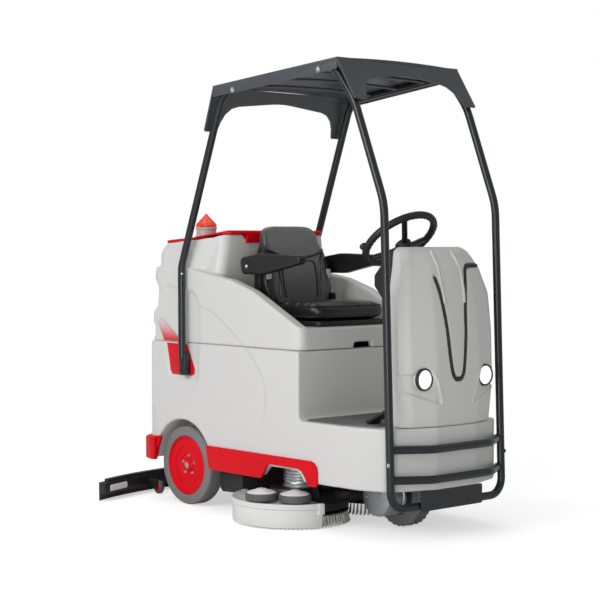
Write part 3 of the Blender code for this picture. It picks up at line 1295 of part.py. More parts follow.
def build_controls(root):
    wheel = pivot("steering_pivot", WHEEL_CENTRE, root)
    steering_wheel(wheel)
    steering_knob(pivot("knob_pivot", knob_place(), wheel))
    key_switch(pivot("key_pivot", dash_point(-KEY_X), root))
    stop_button(pivot("stop_pivot", dash_point(KEY_X), root))
    drive_pedal(pivot("pedal_pivot", (PEDAL_X, PEDAL_Y, STEP_TOP + 0.016), root))


def build_upper_body(root):
    upper = pivot("tank_pivot", (0.0, HINGE_Y, HINGE_Z), root)
    recovery_tank(upper)
    lid = pivot("lid_pivot", (0.0, LID_REAR, lid_line(LID_REAR)), upper)
    tank_lid(lid)
    beacon_base(lid)
    beacon_lens(lid)
    seat = pivot("seat_pivot", (0.0, 0.0, PLINTH_TOP), upper)
    seat_slide(seat)
    seat_cushion(seat)
    back = pivot("recline_pivot", (0.0, BACK_HINGE_Y, BACK_HINGE_Z), seat)
    seat_back(back)
    for name, side in (("right", -1), ("left", 1)):
        place = (side * ARM_X, ARM_PIVOT_Y, ARM_PIVOT_Z)
        armrest(pivot(f"armrest_{name}_pivot", place, back), f"armrest_{name}", side)


def build_wheels(root):
    fork = pivot("fork_pivot", (0.0, DRIVE_AXLE_Y, FORK_TOP), root)
    drive_fork(fork)
    drive_motor(fork)
    drive_wheel(pivot("drive_axle_pivot", (0.0, DRIVE_AXLE_Y, DRIVE_WHEEL_RADIUS), fork))
    for name, side in (("right", -1), ("left", 1)):
        place = (side * (REAR_WHEEL_OUTER - REAR_TYRE_WIDTH / 2), REAR_AXLE_Y, REAR_WHEEL_RADIUS)
        rear_wheel(pivot(f"rear_axle_{name}_pivot", place, root), name, side)


def build_deck(root):
    deck = pivot("deck_pivot", (0.0, BRUSH_Y, DECK_LOW), root)
    brush_deck(deck)
    for name, side in (("right", -1), ("left", 1)):
        brush_motor(deck, f"brush_motor_{name}", side)
        splash_skirt(deck, f"splash_skirt_{name}", side)
        brush(pivot(f"brush_{name}_pivot", (side * BRUSH_X, BRUSH_Y, 0.0), deck), f"brush_{name}", side)
        for end, degrees in zip(("rear", "front"), ROLLER_ANGLES):
            place = roller_place(side, degrees)
            deck_roller(pivot(f"roller_{end}_{name}_pivot", place, deck), f"roller_{end}_{name}", side, degrees)
    deck_link(pivot("link_pivot", (0.0, LINK_PIVOT_Y, LINK_PIVOT_Z), root))


def build_squeegee(root):
    arm = pivot("squeegee_lift_pivot", ARM_PIVOT, root)
    squeegee_arm(arm)
    swing = pivot("squeegee_swing_pivot", (0.0, SWING_Y, SWING_TOP), arm)
    squeegee_body(swing)
    squeegee_blade(swing)
    for name, side in (("right", -1), ("left", 1)):
        place = (side * CASTER_X, CASTER_Y, CASTER_RADIUS)
        squeegee_caster(pivot(f"caster_{name}_pivot", place, swing), f"squeegee_caster_{name}", side)


def build():
    clear_scene()
    root = build_chassis()
    build_controls(root)
    build_upper_body(root)
    build_wheels(root)
    build_deck(root)
    build_squeegee(root)


build()
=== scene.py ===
"""Ride-on floor scrubber with a roofed guard, dressed over its packed mechanical model."""

import json
from math import atan2, cos, pi, radians, sin, sqrt

import bmesh
import bpy
from mathutils import Matrix, Vector, kdtree


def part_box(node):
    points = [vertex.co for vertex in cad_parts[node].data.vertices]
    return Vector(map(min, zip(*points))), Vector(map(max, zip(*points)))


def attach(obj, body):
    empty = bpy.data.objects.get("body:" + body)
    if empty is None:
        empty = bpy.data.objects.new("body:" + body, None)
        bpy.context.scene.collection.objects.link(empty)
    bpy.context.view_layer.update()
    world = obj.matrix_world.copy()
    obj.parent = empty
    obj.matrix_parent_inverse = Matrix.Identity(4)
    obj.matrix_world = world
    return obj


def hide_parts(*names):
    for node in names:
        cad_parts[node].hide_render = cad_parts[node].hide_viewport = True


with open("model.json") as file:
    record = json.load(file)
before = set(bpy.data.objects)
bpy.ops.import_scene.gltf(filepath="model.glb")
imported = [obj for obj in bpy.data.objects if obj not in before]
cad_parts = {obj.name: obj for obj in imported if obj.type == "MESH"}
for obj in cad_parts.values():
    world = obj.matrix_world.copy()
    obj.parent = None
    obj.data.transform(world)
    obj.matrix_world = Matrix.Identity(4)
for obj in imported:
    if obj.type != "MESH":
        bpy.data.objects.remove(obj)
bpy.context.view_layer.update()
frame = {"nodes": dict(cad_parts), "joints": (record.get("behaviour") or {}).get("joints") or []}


# ---------------------------------------------------------------- viewpoint
# A long lens at chest height, about 42 degrees round from the machine's nose towards
# its right side, looking slightly down.
EYE = (-5.007, -5.5565, 1.249)
TURN_FROM_REAR = radians(41.6375)
LOOK_DOWN = radians(2.0752)

bpy.ops.object.camera_add(location=EYE, rotation=(pi / 2 - LOOK_DOWN, 0.0, -TURN_FROM_REAR))
viewer = bpy.context.object
viewer.name = "viewer"
viewer.data.lens = 96.03
viewer.data.sensor_width = 36.0
viewer.data.clip_end = 200.0
bpy.context.scene.camera = viewer
bpy.context.scene.view_settings.view_transform = "Standard"


# ---------------------------------------------------------------- floor and light
# A pale studio floor that runs out to plain white, a large soft lamp high on the driver's
# right with a low one beside it, weaker ones in front and overhead, and a white surround.
FLOOR_REACH = 40.0
SHADOW_REACH = 2.1             # the floor answers the lamps inside this circle
WHITE_REACH = 3.4


def new_finish(name):
    """Empty node material: gives back the material, its nodes and its links."""
    material = bpy.data.materials.new(name)
    material.use_nodes = True
    material.node_tree.nodes.clear()
    return material, material.node_tree.nodes, material.node_tree.links


bpy.ops.mesh.primitive_grid_add(x_subdivisions=8, y_subdivisions=8, size=2 * FLOOR_REACH,
                                location=(0.0, 0.0, -0.0005))
floor = bpy.context.object
floor.name = "studio_floor"
bpy.ops.object.transform_apply(location=True)
finish, nodes, links = new_finish("studio_floor_paint")
place = nodes.new("ShaderNodeTexCoord")
distance = nodes.new("ShaderNodeVectorMath")
distance.operation = "LENGTH"
fade = nodes.new("ShaderNodeMapRange")
fade.inputs["From Min"].default_value = SHADOW_REACH
fade.inputs["From Max"].default_value = WHITE_REACH
fade.interpolation_type = "SMOOTHSTEP"
paint = nodes.new("ShaderNodeBsdfDiffuse")
paint.inputs["Color"].default_value = (0.78, 0.78, 0.78, 1.0)
lift = nodes.new("ShaderNodeEmission")
lift.inputs["Strength"].default_value = 0.52
lit = nodes.new("ShaderNodeAddShader")
white = nodes.new("ShaderNodeEmission")
white.inputs["Strength"].default_value = 1.0
far = nodes.new("ShaderNodeMixShader")
rays = nodes.new("ShaderNodeLightPath")
seen = nodes.new("ShaderNodeMixShader")
out = nodes.new("ShaderNodeOutputMaterial")
links.new(place.outputs["Object"], distance.inputs[0])
links.new(distance.outputs["Value"], fade.inputs["Value"])
links.new(paint.outputs[0], lit.inputs[0])
links.new(lift.outputs[0], lit.inputs[1])
links.new(fade.outputs["Result"], far.inputs["Fac"])
links.new(lit.outputs[0], far.inputs[1])
links.new(white.outputs[0], far.inputs[2])
links.new(rays.outputs["Is Camera Ray"], seen.inputs["Fac"])
links.new(paint.outputs[0], seen.inputs[1])
links.new(far.outputs[0], seen.inputs[2])
links.new(seen.outputs[0], out.inputs["Surface"])
floor.data.materials.append(finish)

surround = bpy.data.worlds.new("studio_surround")
bpy.context.scene.world = surround
surround.use_nodes = True
nodes = surround.node_tree.nodes
links = surround.node_tree.links
nodes.clear()
rays = nodes.new("ShaderNodeLightPath")
backdrop = nodes.new("ShaderNodeMath")
backdrop.operation = "MAXIMUM"
glow = nodes.new("ShaderNodeBackground")
glow.inputs["Strength"].default_value = 0.44
blank = nodes.new("ShaderNodeBackground")
blank.inputs["Strength"].default_value = 1.0
pick = nodes.new("ShaderNodeMixShader")
out = nodes.new("ShaderNodeOutputWorld")
for background in (glow, blank):
    background.inputs["Color"].default_value = (1.0, 1.0, 1.0, 1.0)
links.new(rays.outputs["Is Camera Ray"], backdrop.inputs[0])
links.new(rays.outputs["Is Transmission Ray"], backdrop.inputs[1])
links.new(backdrop.outputs[0], pick.inputs["Fac"])
links.new(glow.outputs[0], pick.inputs[1])
links.new(blank.outputs[0], pick.inputs[2])
links.new(pick.outputs[0], out.inputs["Surface"])


def soft_lamp(name, place, target, size, power):
    """Square studio lamp at a place, turned to a target."""
    aim = Vector(target) - Vector(place)
    bpy.ops.object.light_add(type="AREA", location=place, rotation=aim.to_track_quat("-Z", "Y").to_euler())
    lamp = bpy.context.object
    lamp.name = name
    lamp.data.shape = "SQUARE"
    lamp.data.size = size
    lamp.data.energy = power


soft_lamp("lamp_right", (-5.6, -0.3, 3.4), (0.0, 0.0, 0.8), 3.2, 154.0)
soft_lamp("lamp_low", (-4.2, -3.0, 0.8), (0.0, -0.3, 0.6), 1.8, 48.0)
soft_lamp("lamp_front", (0.4, -6.5, 3.4), (0.0, -0.2, 0.8), 3.0, 2.0)
soft_lamp("lamp_top", (0.6, 1.0, 5.5), (0.0, 0.0, 1.0), 3.5, 70.0)


# ---------------------------------------------------------------- lower body
# The chassis body is one rotomoulded polyethylene shell in pale grey, thick walled,
# with generous radii, a sunk panel on each flank and a pocket for the guard's rear leg.
PANEL_DEPTH = 0.009            # how far the flank panel is sunk
POCKET_DEPTH = 0.0125          # how far the pocket round the guard's foot is sunk
POCKET_FLOOR_X = 0.3728        # its deeper floor, which carries the red inlay
ARCH_X = 0.345                 # the arch over the brush is cut in to here
CUTTER_REACH = 0.02            # how far a cutter stands outside the skin
SHELL_VOXEL = 0.0063
SHELL_SHARE = 0.52             # share of the remeshed faces that is kept


def only(piece):
    """Selects one object and nothing else."""
    bpy.ops.object.select_all(action="DESELECT")
    piece.select_set(True)
    bpy.context.view_layer.objects.active = piece


def carve(piece, kind, **settings):
    """Adds one modifier with these settings and applies it."""
    only(piece)
    bpy.ops.object.modifier_add(type=kind)
    modifier = piece.modifiers[-1]
    for setting, value in settings.items():
        setattr(modifier, setting, value)
    bpy.ops.object.modifier_apply(modifier=modifier.name)


def blank_of(node, name):
    """Working copy of one mechanical part: merged, flat faces made whole, free of its body."""
    mesh = frame["nodes"][node].data.copy()
    piece = bpy.data.objects.new(name, mesh)
    bpy.context.collection.objects.link(piece)
    mesh.name = name
    mesh.materials.clear()
    only(piece)
    bpy.ops.object.mode_set(mode="EDIT")
    bpy.ops.mesh.select_all(action="SELECT")
    bpy.ops.mesh.remove_doubles(threshold=0.00003)
    bpy.ops.mesh.dissolve_limited(angle_limit=radians(0.6))
    bpy.ops.object.mode_set(mode="OBJECT")
    bpy.ops.mesh.customdata_custom_splitnormals_clear()
    return piece


def smooth_faces(piece, angle=40.0):
    """Shades the piece smooth, with its sharper edges kept."""
    only(piece)
    bpy.ops.object.shade_smooth_by_angle(angle=radians(angle))


def place_on(piece, body, slot, finish, *stands_for):
    """Gives the piece its finish and hangs it on its body."""
    piece.data.materials.clear()
    piece.data.materials.append(finish)
    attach(piece, body)
    if stands_for:
        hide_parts(*stands_for)
    return piece


def from_faces(name, mesh):
    """Makes a built-up mesh a piece of its own, with its faces turned outwards."""
    bmesh.ops.recalc_face_normals(mesh, faces=mesh.faces)
    data = bpy.data.meshes.new(name)
    mesh.to_mesh(data)
    mesh.free()
    piece = bpy.data.objects.new(name, data)
    bpy.context.collection.objects.link(piece)
    return piece


def bridged(mesh, rings, capped=True):
    """Walls between each ring of points and the next, with the two ends closed."""
    count = len(rings[0])
    for a, b in zip(rings, rings[1:]):
        for i in range(count):
            j = (i + 1) % count
            mesh.faces.new((a[i], a[j], b[j], b[i]))
    if capped:
        mesh.faces.new(rings[0])
        mesh.faces.new(list(reversed(rings[-1])))


def slab(name, outline, across, low, high):
    """Plate with an outline of (u, v) points square to one axis, from low to high along it."""
    order = {"X": (2, 0, 1), "Y": (0, 2, 1), "Z": (0, 1, 2)}[across]
    mesh = bmesh.new()
    ends = []
    for level in (low, high):
        ring = []
        for u, v in outline:
            raw = (u, v, level)
            ring.append(mesh.verts.new([raw[i] for i in order]))
        ends.append(ring)
    mesh.faces.new(ends[0])
    mesh.faces.new(ends[1])
    bridged(mesh, ends, capped=False)
    return from_faces(name, mesh)


def smooth_line(points, steps=6, closed=False):
    """Points along a smooth curve through the given ones."""
    line = []
    count = len(points)
    pieces = count if closed else count - 1
    for i in range(pieces):
        if closed:
            p = [Vector(points[(i + k) % count]) for k in (-1, 0, 1, 2)]
        else:
            p = [Vector(points[min(max(i + k, 0), count - 1)]) for k in (-1, 0, 1, 2)]
        for step in range(steps):
            t = step / steps
            line.append(0.5 * (2 * p[1] + (p[2] - p[0]) * t
                               + (2 * p[0] - 5 * p[1] + 4 * p[2] - p[3]) * t * t
                               + (3 * p[1] - p[0] - 3 * p[2] + p[3]) * t * t * t))
    if not closed:
        line.append(Vector(points[-1]))
    return line


def cut_away(piece, cutter):
    """Cuts one shape out of another and throws the cutter away."""
    carve(piece, "BOOLEAN", object=cutter, operation="DIFFERENCE", solver="EXACT")
    bpy.data.objects.remove(cutter)


def flank_cut(piece, outline, side, inner, outer):
    """Cuts an outline of (y, z) points into one flank, from outer in to inner."""
    cut_away(piece, slab("flank_cutter", outline, "X", *sorted((side * inner, side * outer))))


def moulded(piece, voxel, passes, angle=50.0):
    """Softens a shell's edges as a mould does: even skin, then a few smoothing passes."""
    carve(piece, "REMESH", mode="VOXEL", voxel_size=voxel, use_smooth_shade=True)
    carve(piece, "SMOOTH", factor=0.5, iterations=passes)
    smooth_faces(piece, angle)


def grained(name, colour, rough, grain=900.0, bite=0.06, drift=0.035, metal=0.0, coat=0.0, shine=0.5):
    """Procedural finish: a slow drift of tone, a fine grain in the surface and uneven gloss."""
    finish, nodes, links = new_finish(name)
    place = nodes.new("ShaderNodeTexCoord")
    cloud = nodes.new("ShaderNodeTexNoise")
    cloud.inputs["Scale"].default_value = 5.0
    cloud.inputs["Detail"].default_value = 5.0
    tone = nodes.new("ShaderNodeMixRGB")
    tone.inputs["Color1"].default_value = [c * (1.0 - drift) for c in colour] + [1.0]
    tone.inputs["Color2"].default_value = [min(1.0, c * (1.0 + drift)) for c in colour] + [1.0]
    speck = nodes.new("ShaderNodeTexNoise")
    speck.inputs["Scale"].default_value = grain
    speck.inputs["Detail"].default_value = 2.0
    relief = nodes.new("ShaderNodeBump")
    relief.inputs["Strength"].default_value = bite
    relief.inputs["Distance"].default_value = 0.001
    gloss = nodes.new("ShaderNodeMapRange")
    gloss.inputs["To Min"].default_value = max(0.02, rough - 0.05)
    gloss.inputs["To Max"].default_value = min(1.0, rough + 0.07)
    shader = nodes.new("ShaderNodeBsdfPrincipled")
    shader.inputs["Metallic"].default_value = metal
    shader.inputs["Coat Weight"].default_value = coat
    shader.inputs["Coat Roughness"].default_value = 0.18
    shader.inputs["Specular IOR Level"].default_value = shine
    out = nodes.new("ShaderNodeOutputMaterial")
    links.new(place.outputs["Object"], cloud.inputs["Vector"])
    links.new(place.outputs["Object"], speck.inputs["Vector"])
    links.new(cloud.outputs["Fac"], tone.inputs["Fac"])
    links.new(tone.outputs["Color"], shader.inputs["Base Color"])
    links.new(cloud.outputs["Fac"], gloss.inputs["Value"])
    links.new(gloss.outputs["Result"], shader.inputs["Roughness"])
    links.new(speck.outputs["Fac"], relief.inputs["Height"])
    links.new(relief.outputs["Normal"], shader.inputs["Normal"])
    links.new(shader.outputs["BSDF"], out.inputs["Surface"])
    return finish


grey_shell = grained("grey_moulded_shell", (0.640, 0.638, 0.630), 0.36, grain=700.0, bite=0.05,
                     drift=0.012)
red_moulding = grained("red_moulding", (0.690, 0.0012, 0.009), 0.38, grain=800.0, bite=0.05,
                       drift=0.03, shine=0.16)

low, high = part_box("lower_body")
outside = high.x + CUTTER_REACH
# The sunk flank panel: a curved front edge, a straight foot and the body's rear end.
panel_front = [(0.174, 0.882), (0.102, 0.833), (0.022, 0.779), (-0.057, 0.713), (-0.112, 0.640),
               (-0.135, 0.560), (-0.132, 0.495), (-0.100, 0.448), (-0.030, 0.430)]
panel = [(p.x, p.y) for p in smooth_line([Vector((y, z, 0.0)) for y, z in panel_front], 5)]
panel += [(0.130, 0.427), (0.670, 0.458), (high.y + 0.05, 0.462), (high.y + 0.05, 0.95)]
body = blank_of("lower_body", "lower_body_shell")
for side in (-1, 1):
    flank_cut(body, panel, side, high.x - PANEL_DEPTH, outside)
pocket = [(0.357, 0.80), (0.357, 0.640), (0.366, 0.592), (0.392, 0.565), (0.430, 0.560), (0.720, 0.560),
          (0.742, 0.580), (0.748, 0.80)]
deep_floor = [(0.392, 0.80), (0.392, 0.640), (0.404, 0.612), (0.425, 0.606), (0.585, 0.606), (0.606, 0.640),
              (0.628, 0.80)]
arch = [(-0.395, 0.15), (-0.385, 0.215), (-0.352, 0.247), (-0.300, 0.252), (-0.160, 0.250), (-0.120, 0.215),
        (-0.100, 0.15)]
for side in (-1, 1):
    flank_cut(body, pocket, side, high.x - POCKET_DEPTH, outside)
    flank_cut(body, deep_floor, side, POCKET_FLOOR_X, outside)
    flank_cut(body, arch, side, ARCH_X, outside)
moulded(body, SHELL_VOXEL, 5)
carve(body, "DECIMATE", ratio=SHELL_SHARE)
smooth_faces(body, 50.0)
place_on(body, "chassis", "grey_moulding", grey_shell, "lower_body")


# ---------------------------------------------------------------- foot inlays
# Thin red panels sunk in the pockets where the guard's rear feet are bolted: the lower
# one on the body, the upper one on the tank, which fades to pale along its top.
SIDES = ((-1, "right"), (1, "left"))
INLAY_THICKNESS = 0.0016
BODY_INLAY_X = 0.3733          # back of the inlay on the body
TANK_INLAY_X = 0.3783          # back of the one on the tank


def faded_red():
    """Red film that turns pale towards its upper end."""
    finish = grained("faded_red_film", (0.66, 0.002, 0.010), 0.34, grain=900.0, bite=0.02,
                     drift=0.03, shine=0.22)
    nodes = finish.node_tree.nodes
    links = finish.node_tree.links
    shader = nodes["Principled BSDF"]
    tone = shader.inputs["Base Color"].links[0].from_socket
    place = nodes["Texture Coordinate"]
    height = nodes.new("ShaderNodeSeparateXYZ")
    fade = nodes.new("ShaderNodeMapRange")
    fade.interpolation_type = "SMOOTHSTEP"
    fade.inputs["From Min"].default_value = 0.765
    fade.inputs["From Max"].default_value = 0.885
    blend = nodes.new("ShaderNodeMixRGB")
    blend.inputs["Color2"].default_value = (0.68, 0.56, 0.56, 1.0)
    links.new(place.outputs["Object"], height.inputs[0])
    links.new(height.outputs["Z"], fade.inputs["Value"])
    links.new(fade.outputs["Result"], blend.inputs["Fac"])
    links.new(tone, blend.inputs["Color1"])
    links.new(blend.outputs["Color"], shader.inputs["Base Color"])
    return finish


def bevelled(piece, width, segments=3, angle=32.0):
    """Rounds the piece's sharper edges and shades it smooth."""
    carve(piece, "BEVEL", width=width, segments=segments, limit_method="ANGLE",
          angle_limit=radians(angle), harden_normals=False)
    smooth_faces(piece, 35.0)


def edged(node, name, width, body, slot, finish, segments=3, angle=32.0):
    """Working copy of one mechanical part with rounded edges, in place with its finish."""
    piece = blank_of(node, name)
    bevelled(piece, width, segments, angle)
    return place_on(piece, body, slot, finish, node)


inlay_red = faded_red()
body_inlay = [(0.618, 0.7655), (0.600, 0.690), (0.588, 0.632), (0.574, 0.617), (0.425, 0.616),
              (0.404, 0.628), (0.402, 0.650), (0.440, 0.725), (0.462, 0.7655)]
tank_inlay = [(0.520, 0.7775), (0.533, 0.802), (0.640, 0.872), (0.672, 0.880), (0.688, 0.866),
              (0.650, 0.806), (0.636, 0.7775)]
for side, which in SIDES:
    for name, outline, back_x, carrier in (("body_inlay_", body_inlay, BODY_INLAY_X, "chassis"),
                                           ("tank_inlay_", tank_inlay, TANK_INLAY_X, "tank")):
        ends = sorted((side * back_x, side * back_x + side * INLAY_THICKNESS))
        inlay = slab(name + which, outline, "X", *ends)
        bevelled(inlay, 0.0006, 2)
        place_on(inlay, carrier, "red_moulding", inlay_red)


# ---------------------------------------------------------------- recovery tank
# Rotomoulded tank in the same pale grey. Its flanks run forward as the walls of the seat
# bay, its upper part steps in at a shoulder, and a channel each side clears the guard.
CHANNEL_DEPTH = 0.0115         # clears the guard's rear leg
UPPER_PANEL_DEPTH = 0.0070
TANK_VOXEL = 0.0068
low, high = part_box("recovery_tank")
tank = blank_of("recovery_tank", "recovery_tank_shell")
channel = [(0.357, 0.70), (0.357, 0.930), (0.372, 0.985), (0.405, 1.015), (0.640, 1.045),
           (0.700, 1.010), (0.728, 0.930), (0.744, 0.830), (0.744, 0.70)]
upper_panel = [(0.010, 0.70), (0.014, 0.772), (0.060, 0.806), (0.102, 0.833), (0.174, 0.882),
               (0.250, 0.925), (0.340, 0.952), (0.395, 0.955), (0.395, 0.70)]
for side in (-1, 1):
    flank_cut(tank, channel, side, high.x - CHANNEL_DEPTH, high.x + CUTTER_REACH)
    flank_cut(tank, upper_panel, side, high.x - UPPER_PANEL_DEPTH, high.x + CUTTER_REACH)
moulded(tank, TANK_VOXEL, 6)


def eased(value, start, end):
    """Smooth rise from 0 at the start to 1 at the end."""
    t = max(0.0, min(1.0, (value - start) / (end - start)))
    return t * t * (3.0 - 2.0 * t)


# The tail is waved in outline: a waist above the shoulder's foot and a round top corner.
for vertex in tank.data.vertices:
    y, z = vertex.co.y, vertex.co.z
    reach = eased(y, 0.46, 0.74)
    waist = 0.036 * eased(z, 0.900, 0.950) * (1.0 - eased(z, 1.030, 1.085))
    dip = 0.014 * eased(z, 0.775, 0.800) * (1.0 - eased(z, 0.835, 0.870))
    crest = 0.012 * eased(z, 1.05, 1.10) + 0.062 * eased(z, 1.155, 1.262) ** 2
    vertex.co.y -= reach * (waist + dip + crest)
    rise = 0.018 - 0.011 * eased(y, 0.255, 0.335) - 0.007 * eased(y, 0.335, 0.420)
    vertex.co.z += rise * eased(z, 1.205, 1.262) * eased(abs(vertex.co.x), 0.188, 0.206)
place_on(tank, "tank", "grey_moulding", grey_shell, "recovery_tank")


# ---------------------------------------------------------------- tank lid
# One red moulded cover over the tank, hinged at the rear. The tank's raised shoulders stand
# up beside it, so little more than its lip shows in front of the tail.
LIP = 0.019                    # what shows of the lid above the tank's raised shoulders
TAIL_START = 0.46              # behind here the lid is drawn in over the tank's round tail
TAIL_SHARE = 0.83
low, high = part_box("tank_lid")
lid = blank_of("tank_lid", "tank_lid_cover")
brim = high.z - LIP
crown = [(low.y - 0.01, brim), (0.300, brim), (0.345, brim - 0.006), (0.395, brim - 0.020),
         (0.435, brim - 0.032), (0.435, 1.20), (low.y - 0.01, 1.20)]
for side in (-1, 1):
    flank_cut(lid, crown, side, 0.190, 0.420)
carve(lid, "REMESH", mode="VOXEL", voxel_size=0.0032, use_smooth_shade=True)
carve(lid, "SMOOTH", factor=0.5, iterations=4)
for vertex in lid.data.vertices:
    if vertex.co.y > TAIL_START:
        vertex.co.y = TAIL_START + (vertex.co.y - TAIL_START) * TAIL_SHARE
smooth_faces(lid, 50.0)
place_on(lid, "lid", "red_moulding", red_moulding, "tank_lid")


# ---------------------------------------------------------------- warning beacon
# An orange cone of clear ribbed plastic on a grey flanged foot, its lens given a faint
# orange glow.
def turned(name, profile, centre, axis=(0.0, 0.0, 1.0), steps=64):
    """Lathe-turned piece: (radius, distance along the axis) points spun about its centre line."""
    mesh = bpy.data.meshes.new(name)
    edges = [(i, i + 1) for i in range(len(profile) - 1)]
    mesh.from_pydata([(r, 0.0, h) for r, h in profile], edges, [])
    piece = bpy.data.objects.new(name, mesh)
    bpy.context.collection.objects.link(piece)
    carve(piece, "SCREW", axis="Z", angle=2 * pi, steps=steps, render_steps=steps, screw_offset=0.0,
          use_merge_vertices=True, merge_threshold=0.00002, use_smooth_shade=True)
    only(piece)
    bpy.ops.object.mode_set(mode="EDIT")
    bpy.ops.mesh.select_all(action="SELECT")
    bpy.ops.mesh.remove_doubles(threshold=0.00002)
    bpy.ops.mesh.normals_make_consistent(inside=False)
    bpy.ops.object.mode_set(mode="OBJECT")
    turn = Vector(axis).to_track_quat("Z", "Y").to_matrix().to_4x4()
    piece.data.transform(Matrix.Translation(centre) @ turn)
    smooth_faces(piece, 32.0)
    return piece


beacon_orange = grained("beacon_orange", (0.80, 0.045, 0.003), 0.16, grain=300.0, bite=0.02, drift=0.05)
shader = beacon_orange.node_tree.nodes["Principled BSDF"]
shader.inputs["Transmission Weight"].default_value = 0.15
shader.inputs["Emission Color"].default_value = (1.0, 0.10, 0.0, 1.0)
shader.inputs["Emission Strength"].default_value = 0.10
pale_plastic = grained("pale_grey_plastic", (0.50, 0.50, 0.49), 0.40, grain=700.0, bite=0.05, drift=0.03)
low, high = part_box("beacon_base")
beacon_x = (low.x + high.x) / 2
beacon_y = (low.y + high.y) / 2
flange = (high.x - low.x) / 2 + 0.006
foot = [(0.0, low.z), (flange - 0.002, low.z), (flange, low.z + 0.003), (flange, low.z + 0.010),
        (flange - 0.003, low.z + 0.014), (flange - 0.005, low.z + 0.018),
        (flange - 0.006, high.z + 0.002), (flange - 0.002, high.z + 0.004),
        (flange - 0.002, high.z + 0.012), (flange - 0.005, high.z + 0.014), (0.0, high.z + 0.014)]
base = turned("beacon_foot", foot, (beacon_x, beacon_y, 0.0))
place_on(base, "lid", "black_plastic", pale_plastic, "beacon_base")
low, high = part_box("beacon_lens")
lens_radius = (high.x - low.x) / 2 + 0.010
lens_foot = low.z + 0.0145
lens_top = high.z + 0.024
cone = [(0.0, lens_foot), (lens_radius - 0.004, lens_foot), (lens_radius, lens_foot + 0.003),
        (lens_radius, lens_foot + 0.011), (lens_radius - 0.003, lens_foot + 0.014)]
rings = 9
for ring in range(rings):
    t = ring / rings
    r = (lens_radius - 0.004) * (1.0 - t) + 0.004 * t
    z = lens_foot + 0.016 + (lens_top - lens_foot - 0.020) * t
    cone += [(r, z), (r - 0.0008, z + 0.0022)]
cone += [(0.003, lens_top - 0.001), (0.0, lens_top)]
lens = turned("beacon_lens_cone", cone, (beacon_x, beacon_y, 0.0))
place_on(lens, "lid", "beacon_orange", beacon_orange, "beacon_lens")


# ---------------------------------------------------------------- front console
# Tall moulded cowl in pale grey in front of the driver's legs. A long U-shaped groove,
# darkened with painted shade, parts its middle panel from the two shoulders, and sunk pods hold the lamps.
GROOVE_SHADE_RADIUS = 0.0085
GROOVE_DEPTH = 0.0120
CREASE_DEPTH = 0.0018
POD_DEPTH = 0.0085
LIP_HEIGHT = 0.0022            # low raised lip just outside a lamp pod
FRONT_Y = -0.80                # only the skin in front of here is shaped


def tube(name, points, radius, sides=16, closed=False):
    """Round bar along the points, with closed ends."""
    data = bpy.data.curves.new(name, "CURVE")
    data.dimensions = "3D"
    data.bevel_depth = radius
    data.bevel_resolution = max(1, sides // 4 - 1)
    data.use_fill_caps = True
    spline = data.splines.new("POLY")
    spline.points.add(len(points) - 1)
    for point, place in zip(spline.points, points):
        point.co = (*place, 1.0)
    spline.use_cyclic_u = closed
    piece = bpy.data.objects.new(name, data)
    bpy.context.collection.objects.link(piece)
    only(piece)
    bpy.ops.object.convert(target="MESH")
    piece = bpy.context.object
    smooth_faces(piece, 50.0)
    return piece


def in_front(piece, x, z):
    """Point on the piece's front skin at that x and height."""
    found, place, normal, face = piece.ray_cast((x, -2.0, z), (0.0, 1.0, 0.0))
    return place if found else None


console = blank_of("console_shell", "console_cowl")
half_groove = [(0.000, 0.668), (0.018, 0.672), (0.034, 0.698), (0.045, 0.760), (0.055, 0.850),
               (0.064, 0.940), (0.079, 1.034), (0.095, 1.100)]
far_end = [(0.099, 1.122), (0.108, 1.137), (0.126, 1.145), (0.170, 1.147), (0.225, 1.146)]
outline = [(-x, z) for x, z in reversed(half_groove)] + half_groove[1:] + far_end
groove = [p for p in (in_front(console, x, z) for x, z in outline) if p is not None]
groove_line = smooth_line(groove, 4)
near_ridge = [(0.060, 0.990), (0.064, 1.030), (0.067, 1.090), (0.066, 1.150), (0.062, 1.208)]
ridge_lines = []
for side in (-1, 1):
    ridge = [p for p in (in_front(console, side * x, z) for x, z in near_ridge) if p is not None]
    ridge_lines.append([p + Vector((0.0, 0.0035, 0.0)) for p in smooth_line(ridge, 4)])
crease_line = [Vector((x, 0.0, 1.147)) for x in [-0.112 - 0.004 * k for k in range(36)]]
moulded(console, 0.0040, 40)
pod = [(0.334, 0.697), (0.200, 0.699), (0.146, 0.690), (0.130, 0.668), (0.098, 0.572), (0.112, 0.566),
       (0.333, 0.640)]


def pod_depth(x, z):
    """How far inside the lamp pod's outline a point of the front lies; negative outside."""
    inside = False
    nearest = 1.0
    for (x1, z1), (x2, z2) in zip(pod, pod[1:] + pod[:1]):
        if (z1 > z) != (z2 > z) and x < (x2 - x1) * (z - z1) / (z2 - z1) + x1:
            inside = not inside
        run = (x2 - x1) ** 2 + (z2 - z1) ** 2
        t = max(0.0, min(1.0, ((x - x1) * (x2 - x1) + (z - z1) * (z2 - z1)) / run))
        away = sqrt((x - x1 - t * (x2 - x1)) ** 2 + (z - z1 - t * (z2 - z1)) ** 2)
        nearest = min(nearest, away)
    return nearest if inside else -nearest


